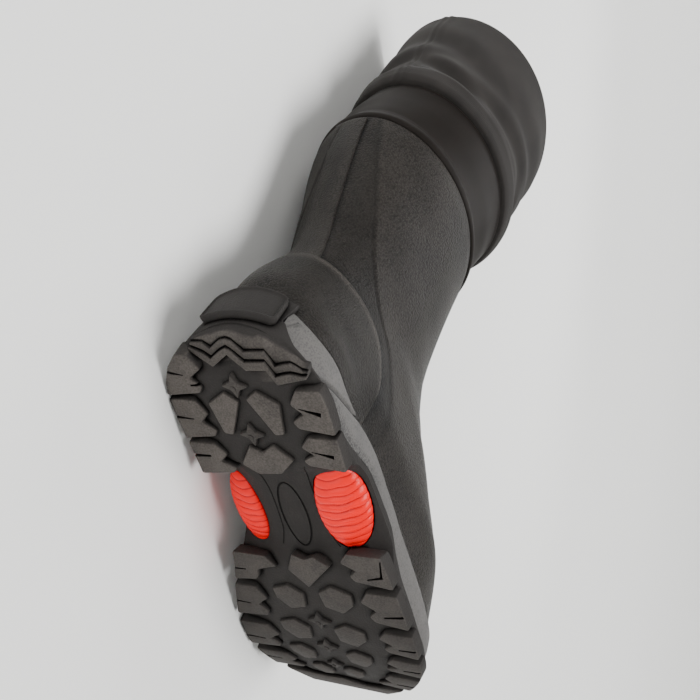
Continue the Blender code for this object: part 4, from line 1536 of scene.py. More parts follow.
    def crash_pad(self) -> BMesh:
        """Stepped pad at the heel back: a zigzag front and two grooved steps that rise to the rear.

        Returns:
            The closed pad.
        """
        corners = np.array(self.crash_front)
        count = len(corners)
        places = np.linspace(0.0, count - 1.0, self.crash_cuts * (count - 1) + 1)
        front = [np.interp(places, np.arange(count), column) for column in corners.T]
        turns = np.linspace(0.0, 0.5 * math.pi, self.dome_steps)
        rings = []
        for x, y, lift in zip(*front):
            share = abs(y) / LAST.plan[0][2]
            heel = LAST.heel_round * (1.0 - math.sqrt(max(0.0, 1.0 - share * share))) + self.crash_inset
            step = min(self.crash_step, max(self.crash_least, x - heel) * self.crash_share)
            third = x - 2.0 * step - self.crash_gap
            starts = (x, x - step, x - step - self.crash_gap, third)
            ring = []
            for k, ahead, rises, grooves, up in self.crash_section:
                z = lift + rises * self.crash_rise + grooves * self.crash_groove + up
                ring.append((starts[int(k)] + ahead, y, z))
            back = third - self.dome_behind
            rear = min(heel, back - self.dome_long)
            low = lift + 2.0 * self.crash_rise + self.dome_low
            high = max(low + self.dome_high, float(LAST.level(Level.TOP, rear)) - self.dome_under)
            for turn in turns:
                x_dome = back + (rear - back) * math.sin(turn)
                ring.append((x_dome, y, low + (high - low) * (1.0 - math.cos(turn))))
            rings.append(ring)
        return ring_mesh(np.swapaxes(np.array(rings), 0, 1))

    def heel_wrap(self) -> BMesh:
        """Black wall round the heel back, between the grey band's two ends.

        Returns:
            The closed wall.
        """
        places = np.linspace(-1.0, 1.0, self.wrap_columns)
        outer, inner = [], []
        for height in np.linspace(0.0, 1.0, self.wrap_rows):
            span = self.wrap_span_low + (self.wrap_span_high - self.wrap_span_low) * ease(0.9 * height)
            border = np.minimum((1.0 - np.abs(places)) * self.wrap_arc, (1.0 - height) * self.wrap_wall)
            tuck = self.wrap_tuck * np.clip(1.0 - border / self.wrap_border, 0.0, 1.0) ** 2
            faces = ((outer, -self.wrap_proud, tuck), (inner, LAST.rim_wall - LAST.gap, 0.0))
            for lines, inset, moved in faces:
                x, y = LAST.heel_arc(places, span, inset)
                low = LAST.band_edge(BandEdge.LOW, x) - self.wrap_foot
                share = moved / LAST.heel_round
                z = low + (self.wrap_high - low) * height
                lines.append(stack(x + (LAST.heel_round - x) * share, y - y * share, z))
        return ring_mesh(outer + inner[::-1])

    def groove(self, path: Array, radius: float, closed: bool = False) -> BMesh:
        """Round cutter along a line on the plate.

        Args:
            path: Points of the line.
            radius: Half the groove's width.
            closed: Whether the line is a loop.

        Returns:
            The closed tube.
        """
        ends = np.concatenate((path[-2:-1], path, path[1:2])) if closed else path
        along = unit(np.gradient(ends, axis=0))
        along = along[1:-1] if closed else along
        across = unit(np.cross(along, (0.0, 0.0, 1.0)))
        rise = np.cross(across, along)
        turns = np.linspace(0.0, 2.0 * np.pi, self.line_sides + 1)
        rings = path[:, None] + radius * (np.cos(turns)[None, :, None] * across[:, None]
                                          + np.sin(turns)[None, :, None] * rise[:, None])
        return face_out(sheet_mesh(rings, wrap=True, loop=not closed))

    def hollows(self) -> list[BMesh]:
        """Everything cut from the plate: pad pockets, the oval's groove and the shank lines.

        Returns:
            Closed cutters.
        """
        tools = [ArchPads().ball(pod, self.pocket_gap, False) for pod in PODS]
        cx, cy, length, width = self.oval
        turns = np.linspace(0.0, 2.0 * np.pi, self.oval_steps)
        x = cx + length * np.cos(turns)
        ring = stack(x, cy + width * np.sin(turns), self.floor_at(x))
        tools.append(self.groove(ring, self.oval_radius, closed=True))
        for line in self.shank_lines:
            x = np.linspace(line[0][0], line[-1][0], self.line_steps)
            path = stack(x, blend(line, x)[:, 0], self.floor_at(x) - self.line_raise)
            tools.append(self.groove(path, self.line_radius))
        return tools

    def wear(self, points: Array) -> Array:
        """How far the tread is worn grey, less towards the toe where shade is painted.

        Args:
            points: Points of the outsole.

        Returns:
            Wear of each point, from 0 to 1.
        """
        x, y, z = points.T
        above = z - LAST.spring(x)
        # Painted shade: the tread keeps less of its grey towards the toe, so it looks darker there
        lighter_tone = 1.0 - self.toe_painted_shade * ease((x - self.toe_shade_from) / self.toe_shade_over)
        wear = lighter_tone * ease((self.worn_high - above) / self.worn_fade)
        on_star = np.zeros(len(points), bool)
        for cx, cy, _ in self.stars():
            on_star |= np.hypot(x - cx, y - cy) < self.star_long + 1.0
        wear[on_star] *= self.star_wear
        corners = np.array(self.crash_front)
        front = np.interp(-y, -corners[:, 1], corners[:, 0], left=-9.0, right=-9.0)
        wear[(x < front + 0.05) & (above < self.pad_high)] = self.pad_wear
        return wear

    def build(self) -> list[Object]:
        """Join the outsole's forms and mark where the tread wears.

        Returns:
            The outsole alone.
        """
        bm = self.plate()
        for hollow in self.hollows():
            bm = carve(bm, hollow)
        for form in (self.lugs(), self.nubs(), self.crash_pad(), self.heel_wrap()):
            join(bm, form)
        mark(bm, "wear", self.wear)
        return [self.lay("lugged_outsole", bm)]

    def dress(self, pieces: Sequence[Object]) -> None:
        """Dress the outsole in black rubber."""
        self.tie(pieces[0], [SOLE_RUBBER], Slot.SOLE, "outsole")


@dataclass
class KickTab(SubAssembly):
    """Framed ledge on the heel back."""

    span: float = 0.079
    low: float = 15.6
    high: float = 39.2
    thickness: float = 4.4
    lean: float = 0.6
    step: float = 0.8
    step_width: float = 0.9
    frame_width: float = 1.7
    edge_round: float = 1.1
    half_arc: float = 29.0
    end_drop: float = 3.4
    corner_from: float = 0.86
    corner_low: float = 2.6
    corner_high: float = 3.4
    columns: int = 97
    rows: int = 30
    crease_angle: float = 40.0

    def build(self) -> list[Object]:
        """Make the ledge with its raised frame and rounded corners.

        Returns:
            The ledge alone.
        """
        places = np.linspace(-1.0, 1.0, self.columns)
        away = np.abs(places)
        corner = np.maximum(0.0, away - self.corner_from) / (1.0 - self.corner_from)
        bottom = self.low + self.corner_low * corner ** 2
        top = self.high - self.end_drop * away ** 2 - self.corner_high * corner ** 2
        lines = []
        for share in np.linspace(0.0, 1.0, self.rows):
            z = bottom + (top - bottom) * share
            border = np.minimum((1.0 - away) * self.half_arc, np.minimum(z - bottom, top - z))
            sunk = self.step * ease((border - self.frame_width) / self.step_width)
            tuck = self.edge_round * np.clip(1.0 - border / self.edge_round, 0.0, 1.0) ** 2
            reach = self.thickness - self.lean * share - sunk - tuck
            lines.append(stack(*LAST.heel_arc(places, self.span, -reach), z))
        for z in (top, bottom):
            lines.append(stack(*LAST.heel_arc(places, self.span, -LAST.gap), z))
        return [self.lay("heel_kick_tab", ring_mesh(lines))]

    def dress(self, pieces: Sequence[Object]) -> None:
        """Dress the ledge in black rubber."""
        self.tie(pieces[0], [SOLE_RUBBER], Slot.SOLE, "kick_tab")


@dataclass
class Midsole(SubAssembly):
    """Grey cup that carries the upper: a waisted band with an overlapping rear panel on each side."""

    stations: int = 620
    wall_steps: int = 34
    panel_step: float = 0.5
    groove_depth: float = 1.4
    groove_width: float = 0.75
    panel_soft: float = 1.4
    panel_end: float = 90.0
    panel_fade: float = 12.0
    foot_inset: float = 9.0
    ledge_inset: float = 5.6
    notch_span: float = 0.0895
    notch_columns: int = 33
    notch_out: float = 3.0
    notch_clear: float = 0.5
    notch_heights: tuple[float, float] = (10.0, 60.0)
    crease_angle: float = 40.0

    # Edge of the rear panel on the band: z, x
    panel_line: Rows = ((6, 22), (8.3, 27), (20.1, 49.6), (33.4, 75), (38, 84))
    # Scratches on the lateral rear panel: x and z where each starts, x and z where it ends
    scratches: Rows = ((7.4, 20.8, 10.2, 27.7), (9.2, 22.8, 10.7, 26.2), (10.2, 27.6, 11.4, 27.2))
    scratch_width: float = 0.3
    scratch_depth: float = 0.65
    knurl_high: float = 0.5
    knurl_depth: float = 0.75
    knurl_start: float = 3.0
    knurl_front: float = 125.0
    knurl_fade: float = 30.0
    # Outer wall: share of the height, inset from the sole's edge
    outer_wall: Rows = ((0, 0.4), (0.3, 0.5), (0.6, 1), (0.88, 1.7), (0.96, 2.2), (1, 3.2))

    def side_points(self, u: Array, side: int) -> list[Array]:
        """Section of one side from the bottom to the footbed.

        Args:
            u: Stations along the sole.
            side: Sign of the side.

        Returns:
            Lines of points along the sole, bottom first.
        """
        lines = []
        x, edge = LAST.edge(u, side)
        row = blend(LAST.plan, x)
        bottom = LAST.band_edge(BandEdge.LOW, x) + LAST.gap
        inner = row[:, 0] + (edge - row[:, 0]) * (1.0 - self.foot_inset / row[:, 1])
        lines.append(stack(x, inner, bottom))
        for share in np.linspace(0.0, 1.0, self.wall_steps):
            inset = float(blend(self.outer_wall, share)[0])
            plain_x = LAST.edge(u, side, inset)[0]
            low = LAST.band_edge(BandEdge.LOW, plain_x) + LAST.gap
            z = low + (LAST.band_edge(BandEdge.RIM, plain_x) - low) * share
            off = 0.5 * (plain_x - blend(self.panel_line, z)[:, 0])
            proud = self.panel_step * (ease(0.5 - off / self.panel_soft) - 1.0)
            proud = proud - self.groove_depth * np.exp(-(off / self.groove_width) ** 2)
            proud = proud * ease((self.panel_end - plain_x) / self.panel_fade)
            px, py = LAST.edge(u, side, inset - proud)
            lines.append(stack(px, py, z))
        px, py = LAST.edge(u, side, self.ledge_inset)
        lines.append(stack(px, py, LAST.band_edge(BandEdge.RIM, px)))
        lines.append(stack(px, py, LAST.level(Level.FLOOR, px)))
        return lines

    def shades(self, points: Array) -> Array:
        """Where the band is knurled and scratched.

        Args:
            points: Points of the band.

        Returns:
            Shade of each point, above 0 where it is knurled and below 0 where it is scratched.
        """
        x, y, z = points.T
        low = LAST.band_edge(BandEdge.LOW, x)
        up = (z - low) / (LAST.band_edge(BandEdge.RIM, x) - low)
        ahead = x - blend(self.panel_line, z)[:, 0]
        shade = self.knurl_depth * ease(1.0 - up / self.knurl_high)
        shade *= ease(ahead / self.knurl_start) * ease((self.knurl_front - x) / self.knurl_fade)
        for x0, z0, x1, z1 in self.scratches:
            run = np.array((x1 - x0, z1 - z0))
            share = np.clip(((x - x0) * run[0] + (z - z0) * run[1]) / (run @ run), 0.0, 1.0)
            away = np.hypot(x - x0 - share * run[0], z - z0 - share * run[1])
            shade -= self.scratch_depth * np.exp(-(away / self.scratch_width) ** 2) * (y < 0.0)
        return shade

    def notch(self) -> BMesh:
        """Cutter for the gap at the heel back, where the outsole comes up.

        Returns:
            The closed cutter.
        """
        places = np.linspace(-1.0, 1.0, self.notch_columns)
        inner = LAST.rim_wall + self.notch_clear
        low, high = self.notch_heights
        corners = ((-self.notch_out, low), (-self.notch_out, high), (inner, high), (inner, low))
        lines = [stack(*LAST.heel_arc(places, self.notch_span, inset), z) for inset, z in corners]
        return ring_mesh(lines)

    def build(self) -> list[Object]:
        """Make the cup, open it at the heel back and mark its knurling and scratches.

        Returns:
            The cup alone.
        """
        u = np.linspace(0.0, 1.0, self.stations)
        lines = self.side_points(u, Side.MEDIAL) + self.side_points(u, Side.LATERAL)[::-1]
        bm = carve(ring_mesh(lines, ends=False), self.notch())
        mark(bm, "tone", self.shades)
        return [self.lay("grey_midsole", bm)]

    def dress(self, pieces: Sequence[Object]) -> None:
        """Dress the cup in grey foam rubber."""
        self.tie(pieces[0], [FOAM_RUBBER], Slot.BAND, "midsole")


@dataclass
class Footbed(SubAssembly):
    """Cloth-covered foam insole with a raised edge at the heel."""

    inset: float = 9.4
    thickness: float = 3.2
    clear: float = 0.15
    stations: int = 120
    across: int = 24
    cup: float = 1.6
    cup_length: float = 110.0
    edge_power: float = 6.0
    edge_drop: float = 0.5

    def build(self) -> list[Object]:
        """Make the slab, cupped at the heel and rounded at its edge.

        Returns:
            The slab alone.
        """
        u = np.linspace(0.0, 1.0, self.stations)
        x, medial = LAST.edge(u, Side.MEDIAL, self.inset)
        lateral = LAST.edge(u, Side.LATERAL, self.inset)[1]
        base = LAST.level(Level.FLOOR, x) + LAST.gap + self.clear
        tops, bottoms = [], []
        for share in np.linspace(-1.0, 1.0, self.across + 1):
            y = lateral + (medial - lateral) * (0.5 + 0.5 * share)
            thick = self.thickness * (1.0 - self.edge_drop * abs(share) ** self.edge_power)
            cupped = self.cup * ease(1.0 - x / self.cup_length) * share * share
            tops.append(stack(x, y, base + thick + cupped))
            bottoms.append(stack(x, y, base))
        bm = ring_mesh(bottoms + tops[::-1], ends=False)
        return [self.lay("footbed", bm)]

    def dress(self, pieces: Sequence[Object]) -> None:
        """Cover the slab with cloth."""
        self.tie(pieces[0], [FOOTBED_CLOTH], Slot.FOOTBED, "insole")


@dataclass
class Upper(SubAssembly):
    """Hollow boot foot and shaft, with its mould lines, heel counter and back stay."""

    around: int = 360
    up: int = 168
    lining_up: int = 48
    rim_steps: int = 8
    wall: float = 3.0
    counter_bottom: float = 0.05
    counter_back: float = 5.05
    counter_front: float = 0.3
    counter_angle: float = 62.0
    counter_curve: float = 11.0
    counter_rise: float = 1.8
    stay_bottom: float = 4.8
    stay_angle: float = 12.5
    stay_swing: float = 8.0
    stay_rise: float = 1.3
    seat: float = 0.6
    edge_width: float = 1.3
    panel_rise: float = 0.55
    panel_edge: float = 2.4
    line_depth: float = 0.2
    mm_around: float = 0.8
    mm_up: float = 11.5
    rim_round: float = 0.6
    overlay_wall: float = 1.0
    # Strength of the highlight painted along the counter's and the stay's borders
    counter_highlight: float = 0.8
    stay_highlight: float = 0.15
    # Columns and rows of the counter and the stay
    counter_grid: tuple[int, int] = (121, 72)
    stay_grid: tuple[int, int] = (41, 130)
    # Ridges beside a crease: height as a share of its depth, place in half widths
    crease_ridge: tuple[float, float] = (0.45, 1.7)

    # Creases and dents: row, angle, half height in rows, half length in degrees, depth, slant in rows
    creases: Rows = (
        (6.6, 0, 0.34, 58, 1.5, 0.5), (7.7, 8, 0.30, 44, 1.1, 0.4),
        (8.9, -6, 0.34, 40, 0.8, 0.3), (7, 258, 0.9, 26, 0.9, 0.6),
        (7, 102, 0.9, 26, 0.9, 0.6), (10.6, 236, 0.8, 20, 0.6, -0.4),
        (10.2, 128, 0.8, 22, 0.7, 0.4), (4.2, 305, 0.5, 18, 0.5, 0.2),
    )
    # Mould line up the side: row, angle from the toe on the medial side
    mould_line: Rows = (
        (1.3, 109), (2.6, 111), (4.1, 114), (5.2, 117), (6.2, 125), (7.4, 134),
        (9.4, 147), (11, 160), (11.95, 166),
    )

    def dents(self, v: Array, phi: Array) -> Array:
        """Depth of the soft creases.

        Args:
            v: Ring rows, a column for each angle.
            phi: Angles in radians.

        Returns:
            Depth at each place.
        """
        depth = np.zeros(v.shape)
        phi = np.broadcast_to(phi, v.shape)
        for row, angle, height, length, deep, slant in self.creases:
            away = phi - math.radians(angle)
            along = np.degrees(half_turn(away)) / length
            depth += deep * trough((v - row - slant * along) / height, along, *self.crease_ridge)
        turn = np.degrees(np.abs(half_turn(phi)))
        behind = turn - blend(self.mould_line, v)[..., 0]
        panel = self.panel_rise * ease(0.5 - behind / self.panel_edge)
        line = self.line_depth * np.exp(-((behind - 0.8) / 1.1) ** 2)
        return depth - (panel - line) * ease((v - 1.2) / 0.8) * ease((LAST.last_row - v) / 0.3)

    def counter_top(self, spread: Array) -> Array:
        """Ring row of the counter's top edge, by the share of its half angle."""
        fall = np.sqrt(np.clip(1.0 - np.abs(spread) ** self.counter_curve, 0.0, 1.0))
        return self.counter_front + (self.counter_back - self.counter_front) * fall

    def lines(self, v: Array, phi: Array) -> Array:
        """Painted light and shade: shadow beside the counter, shade along the mould line and the stay,
        light in front of the mould line.

        Args:
            v: Ring rows, a column for each angle.
            phi: Angles in radians.

        Returns:
            Painted tone at each place, from -1 for painted shade to 1 for painted light.
        """
        phi = np.broadcast_to(phi, v.shape)
        heel = np.degrees(half_turn(phi + np.pi))
        turn = 180.0 - np.abs(heel)
        spread = np.sin(0.5 * np.pi * np.linspace(0.0, 1.0, 90))
        away = np.full(v.shape, 99.0)
        for share, row in zip(spread, self.counter_top(spread)):
            across = turn - 180.0 + self.counter_angle * share
            away = np.minimum(away, np.hypot(across * self.mm_around, (v - row) * self.mm_up))
        behind = (turn - blend(self.mould_line, v)[..., 0]) * self.mm_around
        beside = (np.abs(heel - self.stay_tilt(v)) - self.stay_angle) * self.mm_around
        above = ease((v - self.counter_back) / 0.3)
        strong = 0.55 + 0.4 * ease((v - 10.4) / 0.8)
        # Painted shadow beside the counter's edge: a dark line and a broader shade, weaker near the midsole
        dark = 0.95 * np.exp(-(away / 2.6) ** 2) + 0.45 * np.exp(-(away / 8.0) ** 2)
        dark *= 0.45 + 0.55 * ease((v - 1.0) / 1.4)
        # Painted shade along the mould line, and beside the stay above the counter
        dark += 0.35 * np.exp(-((behind - 0.6) / 1.0) ** 2) * ease((v - 1.2) / 0.8)
        dark += strong * np.exp(-((beside - 0.2) / 1.1) ** 2) * above
        # Painted light in front of the mould line
        pale = 0.22 * ease(0.5 - behind / 4.0) * np.exp(-(behind / 55.0) ** 2)
        return np.clip(pale - dark, -1.0, 1.0)

    def shell(self) -> Object:
        """Outer face with its creases, rolled over at the top and lined with knit.

        Returns:
            The hollow upper.
        """
        phi = np.linspace(0.0, 2.0 * np.pi, self.around + 1)
        v = np.linspace(0.0, LAST.last_row, self.up)[:, None] * np.ones_like(phi)[None, :]
        points = LAST.upper(v, phi)
        normal = outward(points, wrap=True)
        points = points - normal * self.dents(v, phi)[..., None]
        climb = unit(points[-1] - points[-2])
        half = 0.5 * self.wall
        rim = []
        for turn in np.linspace(0.0, np.pi, self.rim_steps + 1)[1:-1]:
            inwards = normal[-1] * half * (1.0 - math.cos(turn))
            rim.append(points[-1] - inwards + climb * self.rim_round * half * math.sin(turn))
        rows = np.linspace(self.up - 1, 0, self.lining_up).astype(int)
        lining = points[rows] - normal[rows] * self.wall
        table = np.concatenate((points, np.array(rim), lining, points[:1]))
        table[:, -1] = table[:, 0]
        # Painted light and shade on the outer face; the rim and the lining get none
        tone = np.zeros(table.shape[:2])
        tone[:self.up] = self.lines(v, phi)
        bm = sheet_mesh(table, wrap=True, lined_from=self.up + self.rim_steps, tone=tone)
        return self.lay("boot_upper", bm)

    def overlay(self, v: Array, angles: Array, rise: Any, painted_highlight: float) -> BMesh:
        """Raised panel cut from the upper's own face.

        Args:
            v: Ring rows of the panel's points, a table with its top row last.
            angles: Angle of each column, or of each point.
            rise: Height of the panel over the upper, one for all or one for each column.
            painted_highlight: Strength of the highlight painted pale along the panel's border.

        Returns:
            The panel as a sheet that tucks into the upper at its border.
        """
        near = 0.01
        across = LAST.upper(v, angles + near) - LAST.upper(v, angles - near)
        climb = LAST.upper(v + near, angles) - LAST.upper(v - near, angles)
        normal = unit(np.cross(across, climb))
        base = LAST.upper(v, angles) - normal * self.dents(v, angles)[..., None]
        step_up = np.linalg.norm(np.diff(base, axis=0), axis=-1)
        step_across = np.linalg.norm(np.diff(base, axis=1), axis=-1)
        climbed = np.concatenate((np.zeros((1, v.shape[1])), np.cumsum(step_up, axis=0)))
        walked = np.concatenate((np.zeros((v.shape[0], 1)), np.cumsum(step_across, axis=1)), axis=1)
        free = np.minimum(climbed[-1:] - climbed, np.minimum(walked, walked[:, -1:] - walked))
        border = np.minimum(free, climbed)
        rounded = 1.0 - np.clip(1.0 - border / self.edge_width, 0.0, 1.0) ** 2.5
        lift = -self.seat + (rise + self.seat) * rounded
        # Painted highlight along the panel's border, a little in from its edge
        tone = painted_highlight * np.exp(-((free - 3.0) / 3.5) ** 2)
        return sheet_mesh(base + normal * lift[..., None], tone=tone)

    def counter(self) -> Object:
        """Heel counter: level round the back, then falling steeply to the midsole.

        Returns:
            The walled panel.
        """
        columns, rows = self.counter_grid
        spread = np.sin(0.5 * np.pi * np.linspace(-1.0, 1.0, columns))
        angles = np.pi + spread * math.radians(self.counter_angle)
        top = self.counter_top(spread)
        shares = np.linspace(0.0, 1.0, rows)[:, None]
        v = self.counter_bottom + (top[None, :] - self.counter_bottom) * shares
        rise = (self.counter_rise + self.seat) * ease((top - 0.9) / 1.8) - self.seat
        bm = self.overlay(v, angles, rise, self.counter_highlight)
        piece = self.lay("heel_counter_panel", bm)
        wall(piece, self.overlay_wall, even=False)
        return piece

    def stay_tilt(self, v: Array) -> Array:
        """How far the stay has turned to the medial side at a ring row, in degrees."""
        return -self.stay_swing * ease((v - self.stay_bottom) / (LAST.last_row - self.stay_bottom))

    def stay(self) -> Object:
        """Flat strip up the back of the shaft, with softly rounded edges.

        Returns:
            The walled strip.
        """
        columns, count = self.stay_grid
        rows = np.linspace(self.stay_bottom, LAST.last_row - 0.02, count)[:, None]
        spread = np.linspace(-self.stay_angle, self.stay_angle, columns)[None, :]
        v = rows + 0.0 * spread
        angles = np.pi + np.radians(spread + self.stay_tilt(rows))
        bm = self.overlay(v, angles, self.stay_rise, self.stay_highlight)
        piece = self.lay("shaft_back_stay", bm)
        wall(piece, self.overlay_wall, even=False)
        return piece

    def build(self) -> list[Object]:
        """Make the upper and what is moulded on it."""
        return [self.shell(), self.counter(), self.stay()]

    def dress(self, pieces: Sequence[Object]) -> None:
        """Dress the upper in grained rubber over a knit lining, and what is moulded on it in rubber.

        Args:
            pieces: The upper, the counter and the stay.
        """
        shell, counter, stay = pieces
        self.tie(shell, [BOOT_RUBBER, LINING], Slot.BOOT, "upper")
        self.tie(counter, [BOOT_RUBBER], Slot.BOOT, "heel_counter")
        self.tie(stay, [BOOT_RUBBER], Slot.BOOT, "back_stay")


@dataclass
class Tube:
    """Oval tube through rows of rear x, rear z, front x, front z and half width."""

    rows: Rows
    slack: float = 0.0
    slack_rise: float = 12.0

    def points(self, around: int, up: int) -> tuple[Array, Array, Array]:
        """Points of the tube.

        Args:
            around: Number of columns round it; the first one is repeated at the end.
            up: Number of rows up it.

        Returns:
            Table of points, rows by columns by three, then the places of the rows in rings and the angles
            of the columns from the front.
        """
        phi = np.linspace(0.0, 2.0 * np.pi, around + 1)
        heights = np.linspace(0.0, len(self.rows) - 1.0, up)
        table = [(float(i), *row) for i, row in enumerate(self.rows)]
        rear_x, rear_z, front_x, front_z, width = np.moveaxis(blend(table, heights), -1, 0)[..., None]
        rise = np.clip((rear_z - self.rows[0][1]) / self.slack_rise, 0.0, 1.0)
        wave = 0.6 * np.sin(3.0 * phi + 0.02 * rear_z) + 0.4 * np.sin(2.0 * phi + 1.3)
        slack = self.slack * rise * wave
        x = 0.5 * (front_x + rear_x) + (0.5 * (front_x - rear_x) + slack) * np.cos(phi)
        z = 0.5 * (front_z + rear_z) + 0.5 * (front_z - rear_z) * np.cos(phi)
        return stack(x, (width + slack) * np.sin(phi), z), heights, phi


@dataclass
class CuffBand(SubAssembly):
    """Smooth tape that seals the shaft to the leg."""

    around: int = 240
    up: int = 110
    wall: float = 2.6
    wrinkles: tuple[float, float] = (0.35, 0.25)

    # Relief of the tape: place up it in rings, lift
    relief: Rows = (
        (0, 0.2), (0.04, 1.4), (0.1, 2.1), (0.19, 2.4), (0.34, 1.8), (0.55, 0.4), (0.8, -0.4),
        (1.2, -0.3), (1.8, 0.2), (2.4, 0.1), (3, 0),
    )
    # Rings: rear x, rear z, front x, front z, half width
    rings: Rows = (
        (-14.6, 204, 131.6, 212, 50.6), (-14.2, 222, 132.6, 230, 51),
        (-12.2, 245, 135.6, 253, 52.4), (-9, 266, 139.6, 274, 54.2),
    )

    def build(self) -> list[Object]:
        """Make the tape with a soft ridge over the shaft's edge and faint wrinkles.

        Returns:
            The tape alone.
        """
        points, heights, phi = Tube(self.rings).points(self.around, self.up)
        t = heights[:, None]
        long, short = self.wrinkles
        wave = long * np.sin(2.0 * phi + 2.2 * t) + short * np.sin(5.0 * phi - 3.0 * t)
        fade = ease(t) * ease((len(self.rings) - 1.0 - t) / 0.3)
        lift = blend(self.relief, t)[..., 0] + wave * fade
        piece = self.lay("cuff_tape", lifted(points, lift))
        wall(piece, self.wall, inner=1)
        return [piece]

    def dress(self, pieces: Sequence[Object]) -> None:
        """Dress the tape in smooth rubber over the knit lining."""
        self.tie(pieces[0], [TAPE_RUBBER, LINING], Slot.TAPE, "cuff_band")


@dataclass
class Leg(SubAssembly):
    """Start of the neoprene leg: bunched over the tape, slack above it, cut with a plain hem."""

    around: int = 260
    up: int = 130
    wall: float = 5.0
    slack: float = 1.6
    seam_width: float = 5.0
    seam_rise: float = 0.7
    seam_soft: float = 1.5
    stitch_depth: float = 0.8
    stitch_width: float = 0.8
    fold_from: float = 268.0
    fold_fade: float = 16.0
    # Ridges beside a fold: height as a share of its depth, place in half widths
    fold_ridge: tuple[float, float] = (0.5, 1.6)
    flat: tuple[float, float] = (0.445, 0.125)

    # Rings: rear x, rear z, front x, front z, half width
    rings: Rows = (
        (-8.6, 266.6, 139.2, 274.6, 53.8), (-11.6, 267.6, 141.6, 275.6, 56.6),
        (-13.6, 273, 144, 281, 58.4), (-13.4, 281, 145, 289, 58.8),
        (-10.8, 289, 143.6, 297, 57.2), (-9.4, 297, 143, 305, 56.6),
        (-10.2, 313, 145.6, 321, 57.6), (-11.4, 335, 148.6, 343, 59),
        (-11.8, 358, 150.8, 366, 60), (-11.6, 380, 152.4, 388, 60.4),
    )
    # Folds: angle from the front, height, half length in degrees, half width, depth, slant in mm
    folds: Rows = (
        (30, 300, 34, 7, 2.2, 8), (95, 294, 30, 6, 1.8, -7),
        (150, 303, 36, 7.5, 2.4, 9), (205, 296, 28, 6, 2, -8),
        (248, 304, 38, 8, 2.6, 10), (310, 298, 32, 7, 2, -9),
        (60, 330, 40, 11, 1.8, 16), (190, 334, 46, 12, 1.9, -18),
        (285, 340, 44, 12, 2, 18), (120, 356, 36, 10, 1.2, -12),
    )

    def folded(self, points: Array, phi: Array) -> Array:
        """Depth of the folds.

        Args:
            points: Table of points, rows by columns by three.
            phi: Angle of each column.

        Returns:
            Depth at each point.
        """
        depth = np.zeros(points.shape[:2])
        z = points[..., 2]
        for angle, height, length, width, deep, slant in self.folds:
            along = np.degrees(half_turn(phi - math.radians(angle)))[None, :] / length
            depth += deep * trough((z - height - slant * along) / width, along, *self.fold_ridge)
        return depth * ease((z - self.fold_from) / self.fold_fade)

    def build(self) -> list[Object]:
        """Make the leg with its folds and the flat seam up the back.

        Returns:
            The leg alone.
        """
        points, _, phi = Tube(self.rings, self.slack).points(self.around, self.up)
        reach = np.where(np.cos(phi)[None, :] < 0.0, np.abs(points[..., 1]), np.inf)
        stitch = self.stitch_depth * np.exp(-(reach / self.stitch_width) ** 2)
        seam = self.seam_rise * (ease((self.seam_width - reach) / self.seam_soft) - stitch)
        bm = lifted(points, seam - self.folded(points, phi))
        piece = self.lay("neoprene_leg", bm)
        wall(piece, self.wall, inner=1)
        return [piece]

    def dress(self, pieces: Sequence[Object]) -> None:
        """Dress the leg in neoprene over the knit lining."""
        self.tie(pieces[0], [NEOPRENE, LINING], Slot.LEG, "leg")


@dataclass(frozen=True)
class Softbox:
    """A square soft light: its name, where it hangs, its side in metres and its power in watts."""

    name: str
    place: tuple[float, float, float]
    size: float
    power: float


